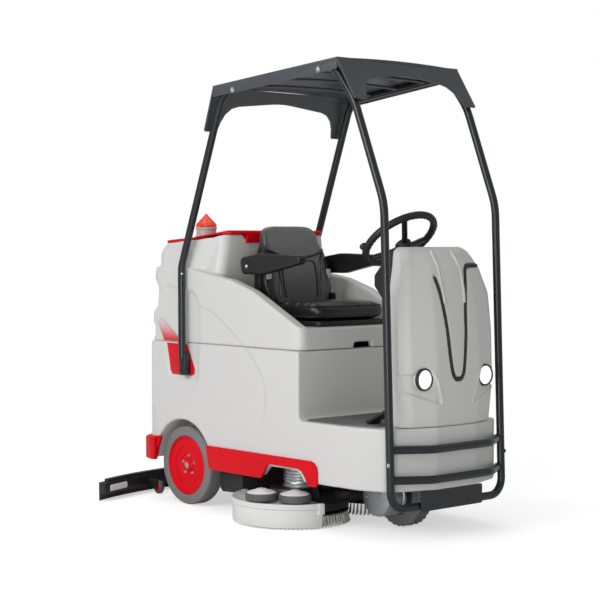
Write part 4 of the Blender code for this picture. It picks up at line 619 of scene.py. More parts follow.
groove_map = kdtree.KDTree(len(groove_line) * 4)
for i, (here, after) in enumerate(zip(groove_line, groove_line[1:] + groove_line[-1:])):
    for k in range(4):
        spot = here.lerp(after, k / 4)
        groove_map.insert((spot.x, spot.z, 0.0), 4 * i + k)
groove_map.balance()
crease_map = kdtree.KDTree(len(crease_line))
for i, spot in enumerate(crease_line):
    crease_map.insert((spot.x, spot.z, 0.0), i)
crease_map.balance()
for vertex in console.data.vertices:
    x, y, z = vertex.co
    if y < FRONT_Y and z > 0.64:
        away = groove_map.find((x, z, 0.0))[2]
        vertex.co.y += GROOVE_DEPTH * (1.0 - eased(away, 0.0055, 0.0135))
        away = crease_map.find((x, z, 0.0))[2]
        vertex.co.y += CREASE_DEPTH * (1.0 - eased(away, 0.0008, 0.0050))
    if 0.54 < z < 0.73 and abs(x) > 0.08 and y < FRONT_Y:
        depth = pod_depth(abs(x), z)
        sink = POD_DEPTH * eased(depth, -0.001, 0.005)
        lip = LIP_HEIGHT * eased(depth, -0.012, -0.004) * (1.0 - eased(depth, -0.003, 0.001))
        vertex.co.y += sink - lip
for ridge in ridge_lines:
    fin = tube("console_ridge", ridge, 0.0085, 12)
    place_on(fin, "chassis", "grey_moulding", grey_shell)
place_on(console, "chassis", "grey_moulding", grey_shell, "console_shell")
# Black rubber for bezels and rockers; the same finish makes the painted-shade pieces in the console groove
# and under the body.
black_rubber_and_painted_shade = grained("black_rubber_and_painted_shade_finish", (0.020, 0.020, 0.021), 0.62, grain=500.0, bite=0.10,
                        drift=0.10)
# A black tube laid along the groove's floor is painted shade: it darkens the groove where its shadow falls.
groove_shade_line = [p + Vector((0.0, 0.0074, 0.0)) for p in groove_line]
groove_shade_tube = tube("console_groove_painted_shade", groove_shade_line, GROOVE_SHADE_RADIUS, 12)
place_on(groove_shade_tube, "chassis", "black_plastic", black_rubber_and_painted_shade)


# ---------------------------------------------------------------- headlights
# Round lamps, lit: a glowing domed lens in a dark bezel ring that stands
# on a pale sleeve.
lamp_glass, nodes, links = new_finish("headlight_lens")
place = nodes.new("ShaderNodeTexCoord")
facets = nodes.new("ShaderNodeTexVoronoi")
facets.inputs["Scale"].default_value = 160.0
relief = nodes.new("ShaderNodeBump")
relief.inputs["Strength"].default_value = 0.10
relief.inputs["Distance"].default_value = 0.001
shader = nodes.new("ShaderNodeBsdfPrincipled")
shader.inputs["Base Color"].default_value = (0.93, 0.94, 0.95, 1.0)
shader.inputs["Roughness"].default_value = 0.06
shader.inputs["Emission Color"].default_value = (1.0, 1.0, 1.0, 1.0)
shader.inputs["Emission Strength"].default_value = 0.75
out = nodes.new("ShaderNodeOutputMaterial")
links.new(place.outputs["Object"], facets.inputs["Vector"])
links.new(facets.outputs["Distance"], relief.inputs["Height"])
links.new(relief.outputs["Normal"], shader.inputs["Normal"])
links.new(shader.outputs["BSDF"], out.inputs["Surface"])
for which in ("right", "left"):
    low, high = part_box("headlight_" + which)
    x = (low.x + high.x) / 2
    z = (low.z + high.z) / 2
    r = (high.x - low.x) / 2
    dome = [(0.0, high.y - 0.002), (r, high.y - 0.002), (r, low.y + 0.015)]
    dome += [(r * cos(pi * k / 16), low.y + 0.015 - 0.008 * sin(pi * k / 16)) for k in range(1, 8)]
    dome += [(0.0, low.y + 0.007)]
    glass = turned("headlight_lens_" + which, dome, (x, 0.0, z), (0.0, 1.0, 0.0))
    place_on(glass, "chassis", "lamp_glass", lamp_glass, "headlight_" + which)
    back = min(low.y + 0.024, high.y - 0.004)
    ring = [(r + 0.0002, back), (r - 0.0014, low.y + 0.0115), (r + 0.0006, low.y + 0.0082),
            (r + 0.0050, low.y + 0.0088), (r + 0.0064, low.y + 0.0125), (r + 0.0064, back),
            (r + 0.0002, back)]
    bezel = turned("headlight_bezel_" + which, ring, (x, 0.0, z), (0.0, 1.0, 0.0))
    place_on(bezel, "chassis", "black_plastic", black_rubber_and_painted_shade)
    ring = [(r + 0.0002, high.y - 0.001), (r + 0.0002, back - 0.002), (r + 0.0050, back - 0.002),
            (r + 0.0058, high.y - 0.001), (r + 0.0002, high.y - 0.001)]
    sleeve = turned("headlight_sleeve_" + which, ring, (x, 0.0, z), (0.0, 1.0, 0.0))
    place_on(sleeve, "chassis", "grey_moulding", grey_shell)


# ---------------------------------------------------------------- driver's guard
# Two hoops of 35 mm steel tube, powder coated in anthracite, joined at the front by two
# bowed rails and a pressed plate. Flattened feet bolt the rear ends to the body.
TUBE_RADIUS = 0.0175


def bent(corners, steps=7):
    """Centre line of a bent tube: (x, y, z, bend radius) corners, rounded."""
    line = [Vector(corners[0][:3])]
    for before, corner, after in zip(corners, corners[1:], corners[2:]):
        here = Vector(corner[:3])
        back = (Vector(before[:3]) - here).normalized()
        on = (Vector(after[:3]) - here).normalized()
        half = back.angle(on) / 2
        reach = corner[3] / max(0.01, sin(half)) * cos(half)
        middle = here + (back + on).normalized() * corner[3] / max(0.01, sin(half))
        start = (here + back * reach - middle).normalized()
        end = (here + on * reach - middle).normalized()
        for step in range(steps + 1):
            line.append(middle + start.slerp(end, step / steps) * corner[3])
    line.append(Vector(corners[-1][:3]))
    return line


def soft_block(name, low, high, bevel, segments=3):
    """Block between two corners with rounded edges."""
    low = Vector(low)
    high = Vector(high)
    bpy.ops.object.select_all(action="DESELECT")
    bpy.ops.mesh.primitive_cube_add(size=1.0, location=(low + high) / 2)
    piece = bpy.context.object
    piece.name = name
    piece.scale = high - low
    bpy.ops.object.transform_apply(location=True, scale=True)
    carve(piece, "BEVEL", width=bevel, segments=segments)
    smooth_faces(piece)
    return piece


def bolt(name, place, axis, radius=0.007, washer=0.0105, height=0.005):
    """Domed screw head on a plain washer, standing on a face."""
    face = 0.0018
    profile = [(0.0, 0.0), (washer, 0.0), (washer, 0.0012), (washer - 0.0006, face), (radius, face),
               (radius, face + height * 0.4), (radius * 0.75, face + height * 0.85),
               (radius * 0.42, face + height), (radius * 0.36, face + height * 0.55),
               (0.0, face + height * 0.5)]
    return turned(name, profile, place, axis, 24)


def joined(name, pieces):
    """Makes several like pieces one mesh."""
    bpy.ops.object.select_all(action="DESELECT")
    for piece in pieces:
        piece.select_set(True)
    bpy.context.view_layer.objects.active = pieces[0]
    bpy.ops.object.join()
    whole = bpy.context.object
    whole.name = name
    whole.data.name = name
    return whole


guard_paint = grained("anthracite_powder_coat", (0.013, 0.017, 0.021), 0.28, grain=1500.0, bite=0.10,
                      drift=0.06, metal=0.25, coat=0.25)
zinc = grained("zinc_plate", (0.60, 0.61, 0.62), 0.28, grain=400.0, bite=0.06, drift=0.08, metal=1.0)
front_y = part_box("guard_plate")[0].y + 0.006 + TUBE_RADIUS
foot_y = 0.453
for side, which in SIDES:
    low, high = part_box("guard_hoop_" + which)
    outer = max(abs(low.x), abs(high.x)) - TUBE_RADIUS
    front_x = side * (outer - 0.065)
    rear_x = side * outer
    foot_z = low.z + TUBE_RADIUS
    corners = [(side * 0.00015, front_y, foot_z, 0.0), (front_x, front_y, foot_z, 0.075),
               (front_x, front_y + 0.045, 1.410, 0.30),
               (front_x + side * 0.004, front_y + 0.220, 1.850, 0.30),
               (front_x + side * 0.008, -0.540, 2.000, 0.10),
               (rear_x - side * 0.008, 0.152, 1.935, 0.11),
               (rear_x, foot_y + 0.003, 1.130, 0.14), (rear_x, foot_y, 0.700, 0.0)]
    hoop = tube("guard_hoop_tube_" + which, bent(corners), TUBE_RADIUS, 24)
    ends = sorted((side * 0.3735, side * (outer + 0.004)))
    foot = soft_block("guard_foot", (ends[0], foot_y - 0.022, 0.620),
                      (ends[1], foot_y + 0.022, 0.725), 0.006)
    hoop = joined("guard_hoop_tube_" + which, [hoop, foot])
    place_on(hoop, "chassis", "guard_paint", guard_paint, "guard_hoop_" + which)
    outward = (side, 0.0, 0.0)
    heads = [bolt("foot_bolt", (side * (outer + 0.004), foot_y, z), outward) for z in (0.640, 0.700)]
    place_on(joined("guard_foot_bolts_" + which, heads), "chassis", "guard_paint", guard_paint)
    place = (side * (abs(front_x) + TUBE_RADIUS - 0.001), front_y, 0.325)
    heads = [bolt("leg_bolt", place, outward, 0.006, 0.009)]
    facing = Vector((side * 0.60, -0.80, 0.0))
    place = Vector((side * outer, foot_y, 1.100)) + facing * (TUBE_RADIUS - 0.0008)
    heads.append(bolt("joint_bolt", place, facing, 0.0035, 0.0050, 0.0025))
    place_on(joined("guard_bolts_" + which, heads), "chassis", "steel", zinc)
for which in ("upper", "lower"):
    low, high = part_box("guard_bow_" + which)
    z = (low.z + high.z) / 2
    bow_y = low.y + TUBE_RADIUS
    half = high.x
    corners = [(-half, high.y - 0.002, z, 0.0), (-0.180, bow_y, z, 0.10), (0.180, bow_y, z, 0.10),
               (half, high.y - 0.002, z, 0.0)]
    rail = tube("guard_rail_" + which, bent(corners), TUBE_RADIUS, 24)
    place_on(rail, "chassis", "guard_paint", guard_paint, "guard_bow_" + which)
plate = blank_of("guard_plate", "guard_front_plate")
smooth_faces(plate)
place_on(plate, "chassis", "guard_paint", guard_paint, "guard_plate")


# ---------------------------------------------------------------- roof
# One thermoformed sheet in black-grey plastic with a shallow crown, arched skirts front
# and rear, flanges down the sides bolted to the hoops, and ribs under it.
roof_plastic = grained("roof_sheet", (0.064, 0.072, 0.081), 0.33, grain=1100.0, bite=0.16, drift=0.08)
roof = edged("roof_shell", "roof_sheet", 0.0016, "chassis", "roof_plastic", roof_plastic, 2, 40.0)
for side, which in SIDES:
    heads = []
    for y in (-0.470, 0.060):
        start = (side * 2.0, y, 2.0 - 0.10 * (y + 0.54) - 0.006)
        found, place, normal, face = roof.ray_cast(start, (-side, 0.0, 0.0))
        if found:
            heads.append(bolt("flange_bolt", place, (side, 0.0, 0.0), 0.0085, 0.0135, 0.006))
    if heads:
        place_on(joined("roof_bolts_" + which, heads), "chassis", "steel", zinc)
ribs = []
for y in (-0.40, -0.22, -0.04):
    z = 2.0 - 0.094 * (y + 0.54) - 0.004
    line = []
    for x in [-0.340 + 0.068 * k for k in range(11)]:
        line.append(Vector((x, y, z + 0.010 * (1 - (x / 0.34) ** 2))))
    ribs.append(tube("rib", line, 0.007, 12))
roof_ribs = joined("roof_ribs", ribs)
place_on(roof_ribs, "chassis", "roof_plastic", roof_plastic)


# ---------------------------------------------------------------- steering
# Padded wheel of grained plastic with finger ridges under the rim and three spokes, on a
# stepped column, with a free-spinning knob on the rim.
RIM_TUBE = 0.0162
FINGER_RIDGES = 40
soft_black = grained("soft_black_plastic", (0.010, 0.010, 0.0105), 0.44, grain=650.0, bite=0.20,
                     drift=0.10)
joints = {joint["name"]: joint for joint in frame["joints"]}
wheel_axis = Vector(joints["steering_turn"]["axis"]).normalized()
wheel_centre = Vector(joints["steering_turn"]["pos_m"])
across = Vector((1.0, 0.0, 0.0))
up_rim = wheel_axis.cross(across).normalized()
low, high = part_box("steering_wheel")
rim_radius = high.x - RIM_TUBE


def on_rim(turn, radius=rim_radius, lift=0.0):
    """Point round the wheel at an angle from its left, lifted along the axis."""
    return wheel_centre + (across * cos(turn) + up_rim * sin(turn)) * radius + wheel_axis * lift


rim = tube("rim", [on_rim(2 * pi * k / 72) for k in range(72)], RIM_TUBE, 20, closed=True)
parts = [rim]
ridge_radius = RIM_TUBE - 0.0006
for k in range(FINGER_RIDGES):
    turn = 2 * pi * k / FINGER_RIDGES
    ridge = [on_rim(turn, rim_radius + ridge_radius * cos(a), ridge_radius * sin(a))
             for a in [radians(-150.0 + 12.0 * s) for s in range(11)]]
    parts.append(tube("finger_ridge", ridge, 0.0020, 8))
for turn in (radians(0.0), radians(120.0), radians(240.0)):
    spoke = [on_rim(turn, 0.012, -0.034), on_rim(turn, 0.040, -0.034), on_rim(turn, 0.075, -0.026),
             on_rim(turn, rim_radius * 0.75, -0.010), on_rim(turn, rim_radius - 0.006, -0.001)]
    parts.append(tube("spoke", smooth_line(spoke, 5), 0.0125, 16))
hub = [(0.0, -0.060), (0.030, -0.060), (0.036, -0.052), (0.038, -0.030), (0.034, -0.022),
       (0.026, -0.018), (0.010, -0.015), (0.0, -0.0145)]
parts.append(turned("hub", hub, wheel_centre, wheel_axis, 40))
steering = joined("steering_wheel_padded", parts)
place_on(steering, "steering", "black_plastic", soft_black, "steering_wheel")
knob = [(0.0, 0.003), (0.009, 0.003), (0.009, 0.008), (0.0145, 0.011), (0.0180, 0.017),
        (0.0180, 0.025), (0.0135, 0.031), (0.006, 0.033), (0.0, 0.0332)]
ball = turned("steering_knob_ball", knob, joints["knob_spin"]["pos_m"], wheel_axis, 32)
place_on(ball, "knob", "black_plastic", soft_black, "steering_knob")
column = blank_of("steering_column", "steering_column_cover")
bevelled(column, 0.002)
boot = [(0.036 + 0.004 * (k % 2), -0.165 + 0.007 * k) for k in range(14)]
boot = [(0.020, -0.165)] + boot + [(0.020, -0.067)]
gaiter = turned("column_gaiter", boot, wheel_centre, wheel_axis, 40)
place_on(joined("steering_column_cover", [column, gaiter]), "chassis", "black_plastic", soft_black,
         "steering_column")


# ---------------------------------------------------------------- dashboard
# Black fascia below the wheel with a small dark display, a row of rocker switches, the
# ignition key on the right and the stop button on the left.
dash = edged("dash_panel", "dash_fascia", 0.004, "chassis", "black_plastic", soft_black)
normal = Vector(joints["key_turn"]["axis"]).normalized()
key_place = Vector(joints["key_turn"]["pos_m"])
down_dash = normal.cross(across).normalized()


def dash_block(name, x, along, size_x, size_v, height, finish):
    """Small rounded block standing on the fascia at x and a distance down it."""
    piece = soft_block(name, (-size_x / 2, -size_v / 2, 0.0), (size_x / 2, size_v / 2, height),
                       min(0.0018, height * 0.4), 2)
    turn = Matrix((across, down_dash, normal)).transposed().to_4x4()
    middle = Vector((x, key_place.y, key_place.z)) + down_dash * along
    piece.data.transform(Matrix.Translation(middle) @ turn)
    return place_on(piece, "chassis", "black_plastic", finish)


screen_black = grained("display_glass", (0.012, 0.016, 0.020), 0.08, grain=80.0, bite=0.0, drift=0.05)
fascia = Vector((-0.075, key_place.y, key_place.z))
found, floor_point, floor_side, face = dash.ray_cast(fascia + normal * 0.2, -normal)
face_lift = (floor_point - fascia).dot(normal) if found else 0.0
key_place = key_place + normal * (face_lift - 0.0002)
dash_block("dash_display", -0.062, 0.0, 0.052, 0.034, 0.003, screen_black)
for row, x in enumerate((-0.085, -0.060, 0.060, 0.085)):
    dash_block("dash_rocker_%d" % (row + 1), x, 0.036, 0.018, 0.012, 0.005, black_rubber_and_painted_shade)
edged("key_switch", "ignition_key", 0.0008, "key", "steel", zinc, 2)
stop_red = grained("stop_button_red", (0.66, 0.008, 0.010), 0.22, grain=500.0, bite=0.02, drift=0.03)
edged("stop_button", "stop_mushroom", 0.0022, "stop", "switch_red", stop_red, 4)


# ---------------------------------------------------------------- seat
# Pressed black pan on slide rails, with a deep foam cushion and a high backrest, both in
# black vinyl with piped seams, and two padded arms that fold up.
def seat_vinyl():
    """Black vinyl with a pebbled grain, soft creases and an uneven sheen."""
    finish, nodes, links = new_finish("black_seat_vinyl")
    place = nodes.new("ShaderNodeTexCoord")
    pebble = nodes.new("ShaderNodeTexVoronoi")
    pebble.inputs["Scale"].default_value = 420.0
    crease = nodes.new("ShaderNodeTexNoise")
    crease.inputs["Scale"].default_value = 34.0
    crease.inputs["Detail"].default_value = 5.0
    crease.inputs["Distortion"].default_value = 0.6
    grain = nodes.new("ShaderNodeBump")
    grain.inputs["Strength"].default_value = 0.22
    grain.inputs["Distance"].default_value = 0.0008
    folds = nodes.new("ShaderNodeBump")
    folds.inputs["Strength"].default_value = 0.16
    folds.inputs["Distance"].default_value = 0.003
    tone = nodes.new("ShaderNodeMixRGB")
    tone.inputs["Color1"].default_value = (0.005, 0.005, 0.0052, 1.0)
    tone.inputs["Color2"].default_value = (0.010, 0.010, 0.0105, 1.0)
    gloss = nodes.new("ShaderNodeMapRange")
    gloss.inputs["To Min"].default_value = 0.26
    gloss.inputs["To Max"].default_value = 0.38
    shader = nodes.new("ShaderNodeBsdfPrincipled")
    shader.inputs["Coat Weight"].default_value = 0.12
    shader.inputs["Coat Roughness"].default_value = 0.30
    out = nodes.new("ShaderNodeOutputMaterial")
    links.new(place.outputs["Object"], pebble.inputs["Vector"])
    links.new(place.outputs["Object"], crease.inputs["Vector"])
    links.new(crease.outputs["Fac"], tone.inputs["Fac"])
    links.new(crease.outputs["Fac"], gloss.inputs["Value"])
    links.new(pebble.outputs["Distance"], grain.inputs["Height"])
    links.new(crease.outputs["Fac"], folds.inputs["Height"])
    links.new(folds.outputs["Normal"], grain.inputs["Normal"])
    links.new(tone.outputs["Color"], shader.inputs["Base Color"])
    links.new(gloss.outputs["Result"], shader.inputs["Roughness"])
    links.new(grain.outputs["Normal"], shader.inputs["Normal"])
    links.new(shader.outputs["BSDF"], out.inputs["Surface"])
    return finish


def round_block(name, shape, plan=0.30, edge=0.40, around=96, rows=48):
    """Rounded block from -1 to 1 on each axis, set in place by shape(x, y, z)."""
    def power(value, exponent):
        return abs(value) ** exponent * (1.0 if value >= 0 else -1.0)

    bpy.ops.object.select_all(action="DESELECT")
    bpy.ops.mesh.primitive_uv_sphere_add(segments=around, ring_count=rows, radius=1.0)
    piece = bpy.context.object
    piece.name = name
    for vertex in piece.data.vertices:
        x, y, z = vertex.co
        flat = sqrt(max(0.0, x * x + y * y))
        turn = atan2(y, x)
        wide = power(flat, edge)
        tall = power(max(-1.0, min(1.0, z)), edge)
        vertex.co = shape(wide * power(cos(turn), plan), wide * power(sin(turn), plan), tall)
    return piece


def plumped(piece, voxel=0.006, pressure=4.0, limit=0.008):
    """Blows the pad up as cloth under pressure, holding each point within a limit of its start."""
    carve(piece, "REMESH", mode="VOXEL", voxel_size=voxel, use_smooth_shade=True)
    start = [vertex.co.copy() for vertex in piece.data.vertices]
    only(piece)
    bpy.ops.object.modifier_add(type="CLOTH")
    cloth = piece.modifiers[-1]
    cloth.settings.use_pressure = True
    cloth.settings.uniform_pressure_force = pressure
    cloth.settings.effector_weights.gravity = 0.0
    for step in range(1, 21):
        bpy.context.scene.frame_set(step)
    bpy.ops.object.modifier_apply(modifier=cloth.name)
    bpy.context.scene.frame_set(1)
    for vertex, before in zip(piece.data.vertices, start):
        moved = vertex.co - before
        if moved.length > limit:
            vertex.co = before + moved * (limit / moved.length)
    carve(piece, "SMOOTH", factor=0.5, iterations=3)
    carve(piece, "SUBSURF", levels=1, render_levels=1)
    smooth_faces(piece, 80.0)


vinyl = seat_vinyl()
painted_highlight_back_vinyl = seat_vinyl()
painted_highlight_back_vinyl.name = "black_back_vinyl_painted_highlight"
# The backrest's face is painted pale grey in its middle as a painted highlight; its borders and its foot
# stay black as painted shade.
nodes = painted_highlight_back_vinyl.node_tree.nodes
links = painted_highlight_back_vinyl.node_tree.links
shader = nodes["Principled BSDF"]
tone = shader.inputs["Base Color"].links[0].from_socket
split = nodes.new("ShaderNodeSeparateXYZ")
side_size = nodes.new("ShaderNodeMath")
side_size.operation = "ABSOLUTE"
painted_highlight_border = nodes.new("ShaderNodeMapRange")
painted_highlight_border.interpolation_type = "SMOOTHSTEP"
painted_highlight_border.inputs["From Min"].default_value = 0.125
painted_highlight_border.inputs["From Max"].default_value = 0.190
# Darker towards the foot of the backrest: painted shade.
painted_foot_shade = nodes.new("ShaderNodeMapRange")
painted_foot_shade.interpolation_type = "SMOOTHSTEP"
painted_foot_shade.inputs["From Min"].default_value = 0.96
painted_foot_shade.inputs["From Max"].default_value = 1.18
painted_foot_shade.inputs["To Min"].default_value = 0.75
painted_foot_shade.inputs["To Max"].default_value = 0.0
painted_light_mask = nodes.new("ShaderNodeMath")
painted_light_mask.operation = "MAXIMUM"
# Pale grey painted into the face as a painted highlight, faded to black at the borders and foot.
painted_highlight_tone = nodes.new("ShaderNodeMixRGB")
painted_highlight_tone.inputs["Color1"].default_value = (0.165, 0.165, 0.166, 1.0)
links.new(nodes["Texture Coordinate"].outputs["Object"], split.inputs[0])
links.new(split.outputs["X"], side_size.inputs[0])
links.new(side_size.outputs[0], painted_highlight_border.inputs["Value"])
links.new(split.outputs["Z"], painted_foot_shade.inputs["Value"])
links.new(painted_highlight_border.outputs["Result"], painted_light_mask.inputs[0])
links.new(painted_foot_shade.outputs["Result"], painted_light_mask.inputs[1])
links.new(painted_light_mask.outputs[0], painted_highlight_tone.inputs["Fac"])
links.new(tone, painted_highlight_tone.inputs["Color2"])
links.new(painted_highlight_tone.outputs["Color"], shader.inputs["Base Color"])
edged("seat_slide", "seat_pan", 0.003, "seat", "black_plastic", soft_black)

low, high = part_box("seat_cushion")
middle = (low + high) / 2
half = (high - low) / 2


def cushion_shape(x, y, z):
    """Cushion: crowned, raised at both sides and falling away at the front."""
    top = max(0.0, z)
    bolster = 0.010 * top * abs(x) ** 4
    crown = 0.008 * top * (1.0 - abs(x) ** 2) * (1.0 - abs(y) ** 2)
    fall = -0.016 * top * max(0.0, -y - 0.55)
    tuck = 1.0 - 0.035 * max(0.0, -z)
    return (middle.x + x * (half.x - 0.008) * tuck, middle.y + y * (half.y - 0.008) * tuck,
            middle.z - 0.004 + z * (half.z - 0.008) + bolster + crown + fall)


cushion = round_block("seat_cushion_pad", cushion_shape, 0.34, 0.42)
plumped(cushion, 0.006, 4.0, 0.007)
place_on(cushion, "seat", "seat_vinyl", vinyl, "seat_cushion")


def around_pad(piece, level, steps=72, proud=0.0):
    """Line round a pad's side at one height, from its middle outwards."""
    line = []
    for k in range(steps):
        turn = 2 * pi * k / steps
        out = Vector((cos(turn), sin(turn), 0.0))
        start = Vector((middle.x, middle.y, level)) + out * 0.8
        found, place, normal, face = piece.ray_cast(start, -out)
        if found:
            line.append(place + out * proud)
    return line


piping = [tube("piping", around_pad(cushion, z, proud=0.0022), 0.0040, 10, closed=True)
          for z in (low.z + 0.018, high.z - 0.020)]
piping = joined("seat_cushion_piping", piping)
place_on(piping, "seat", "seat_vinyl", vinyl)

low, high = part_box("seat_back")
back_low = low.copy()
back_high = high + Vector((0.0, 0.0, 0.016))
BACK_LEAN = 0.220              # rise to run of the leaning backrest
BACK_FOOT_Y = 0.035            # front face at the cushion's top


def back_front(z):
    """Front plane of the backrest at a height."""
    return BACK_FOOT_Y + BACK_LEAN * (z - 0.895)


def back_width(t):
    """Half width of the backrest from its foot, t = 0, to its top, t = 1."""
    if t < 0.30:
        return 0.182 + (0.214 - 0.182) * sin(pi / 2 * t / 0.30)
    if t < 0.62:
        return 0.214
    ease = (t - 0.62) / 0.18
    if ease < 1.0:
        return 0.214 - 0.036 * (3 * ease ** 2 - 2 * ease ** 3)
    return 0.178


def back_shape(x, y, z):
    """Backrest: leaning, waisted under the head, with forward side bolsters."""
    t = (z + 1.0) / 2.0
    height = back_low.z + 0.010 + (back_high.z - back_low.z - 0.016) * t
    thick = 0.027 + 0.012 * sin(pi * min(1.0, t * 1.1))
    if t > 0.72:
        thick *= 1.0 - 0.12 * (t - 0.72) / 0.28
    centre_y = back_front(height) + 0.0405
    bolster = -0.010 * abs(x) ** 3 * max(0.0, -y) * (1.0 if t < 0.66 else 0.35)
    hollow = 0.0
    if t < 0.66:
        hollow = 0.010 * (1.0 - abs(x) ** 2) * max(0.0, -y) * sin(pi * min(1.0, t / 0.66))
    return (x * back_width(t), centre_y + y * thick + bolster + hollow, height)


back = round_block("seat_back_pad", back_shape, 0.36, 0.34)
plumped(back, 0.006, 4.0, 0.007)
place_on(back, "backrest", "seat_vinyl", painted_highlight_back_vinyl, "seat_back")


def on_back(points, proud=0.001, steps=6):
    """Smooth line of (x, z) points laid on the backrest's front."""
    line = []
    for p in smooth_line([Vector((x, z, 0.0)) for x, z in points], steps):
        found, place, normal, face = back.ray_cast((p.x, -0.6, p.y), (0.0, 1.0, 0.0))
        if found:
            line.append(place + Vector((0.0, -proud, 0.0)))
    return line


head_seam = [(-0.176, 1.212), (-0.10, 1.186), (0.0, 1.174), (0.10, 1.186), (0.176, 1.212)]
inner_seam = [(0.098, 0.990), (0.104, 1.050), (0.104, 1.120), (0.088, 1.160), (0.0, 1.152)]
outer_seam = [(0.168, 1.200), (0.140, 1.168), (0.128, 1.120), (0.126, 1.060), (0.132, 0.995)]
seams = [tube("seam", on_back(head_seam, 0.0030), 0.0056, 12)]
for side in (-1, 1):
    for seam, radius in ((inner_seam, 0.0036), (outer_seam, 0.0042)):
        seams.append(tube("seam", on_back([(side * x, z) for x, z in seam], 0.002), radius, 10))
back_seams = joined("seat_back_piping", seams)
place_on(back_seams, "backrest", "seat_vinyl", vinyl)

BELT_CLIP_X = 0.186
for side, which in SIDES:
    node = "armrest_" + which
    low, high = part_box(node)
    pad = blank_of(node, "armrest_pad_" + which)
    carve(pad, "REMESH", mode="VOXEL", voxel_size=0.0035, use_smooth_shade=True)
    carve(pad, "SMOOTH", factor=0.5, iterations=9)
    smooth_faces(pad, 80.0)
    place_on(pad, "arm_" + which, "seat_vinyl", vinyl, node)
    pivot = Vector(joints["arm_%s_fold" % which]["pos_m"])
    edge = high.x if side > 0 else low.x
    head = bolt("arm_bolt", (edge + side * -0.0012, pivot.y, pivot.z), (side, 0.0, 0.0), 0.0075,
                0.0100, 0.004)
    place_on(head, "arm_" + which, "steel", zinc)
    head.name = "armrest_bolt_" + which
    inner = abs(low.x if side > 0 else high.x)
    ends = sorted((side * (inner - 0.017), side * (inner - 0.002)))
    bracket = soft_block("armrest_bracket_" + which, (ends[0], pivot.y - 0.030, 0.985),
                         (ends[1], pivot.y + 0.012, pivot.z + 0.012), 0.004)
    place_on(bracket, "backrest", "black_plastic", soft_black)
    rest = in_front(back, side * BELT_CLIP_X, 1.098)
    if rest is not None:
        clip = soft_block("belt_clip_" + which, (side * BELT_CLIP_X - 0.014, rest.y - 0.006, 1.076),
                          (side * BELT_CLIP_X + 0.014, rest.y + 0.016, 1.120), 0.004)
        place_on(clip, "backrest", "skirt_plastic", pale_plastic)


# ---------------------------------------------------------------- rear wheels
# Solid grey rubber tyres with one groove round the tread, on red dished rims with a stub
# hub, five nuts and a dust cap.
BEAD_RADIUS = 0.1405           # where the rear tyre sits on its rim
BORE_RADIUS = 0.0155
NUT_CIRCLE = 0.045
tyre_grey = grained("grey_tyre_rubber", (0.190, 0.186, 0.186), 0.55, grain=420.0, bite=0.25,
                    drift=0.10)
for side, which in SIDES:
    low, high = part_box("rear_tyre_" + which)
    out = (float(side), 0.0, 0.0)
    radius = (high.z - low.z) / 2
    wide = (high.x - low.x) / 2
    centre = Vector(((low.x + high.x) / 2, (low.y + high.y) / 2, (low.z + high.z) / 2))
    tread = [(BEAD_RADIUS, -wide + 0.003), (BEAD_RADIUS + 0.004, -wide),
             (radius - 0.014, -wide + 0.001), (radius - 0.004, -wide + 0.006),
             (radius - 0.0005, -wide + 0.014), (radius, -wide + 0.022)]
    mirrored = [(r, -h) for r, h in reversed(tread)]
    groove = [(radius, -0.0022), (radius - 0.0018, -0.0012), (radius - 0.0018, 0.0012), (radius, 0.0022)]
    tyre = turned("rear_tyre_ring_" + which, tread + groove + mirrored + [tread[0]], centre, out, 96)
    place_on(tyre, "rear_wheel_" + which, "tyre", tyre_grey, "rear_tyre_" + which)
    low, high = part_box("rear_rim_" + which)
    edge = (high.x - low.x) / 2
    shift = (low.x + high.x) / 2 - centre.x
    rim_centre = centre + Vector((shift, 0.0, 0.0))
    dish = [(BORE_RADIUS, -edge + 0.004), (0.120, -edge + 0.004), (0.139, -edge), (0.1400, edge - 0.006),
            (0.1385, edge - 0.001), (0.1350, edge), (0.1325, edge - 0.002), (0.1300, edge - 0.009),
            (0.118, edge - 0.012), (0.100, edge - 0.013), (0.094, edge - 0.012), (0.090, edge - 0.009),
            (0.084, edge - 0.008), (0.062, edge - 0.007), (0.056, edge - 0.008), (0.050, edge - 0.014),
            (0.040, edge - 0.016), (0.034, edge - 0.015), (0.030, edge - 0.008), (0.026, edge - 0.004),
            (0.020, edge - 0.003), (BORE_RADIUS, edge - 0.003), (BORE_RADIUS, -edge + 0.004)]
    rim = turned("rear_rim_dish_" + which, dish, rim_centre, out, 96)
    place_on(rim, "rear_wheel_" + which, "red_moulding", red_moulding, "rear_rim_" + which)
    nuts = []
    for k in range(5):
        turn = 2 * pi * k / 5 + 0.3
        place = Vector((side * (edge - 0.015), NUT_CIRCLE * cos(turn), NUT_CIRCLE * sin(turn)))
        nuts.append(bolt("nut", rim_centre + place, out, 0.0055, 0.0075, 0.006))
    place_on(joined("rear_wheel_nuts_" + which, nuts), "rear_wheel_" + which, "steel", zinc)
    cap = [(0.0, edge + 0.0035), (0.006, edge + 0.003), (0.0115, edge), (0.014, edge - 0.0045),
           (0.0175, edge - 0.0045), (0.0175, edge - 0.010), (0.0, edge - 0.010)]
    cap = [(r, min(h, edge - 0.0005)) for r, h in cap]
    dust_cap = turned("rear_wheel_cap_" + which, list(reversed(cap)), rim_centre, out, 32)
    place_on(dust_cap, "rear_wheel_" + which, "steel", zinc)


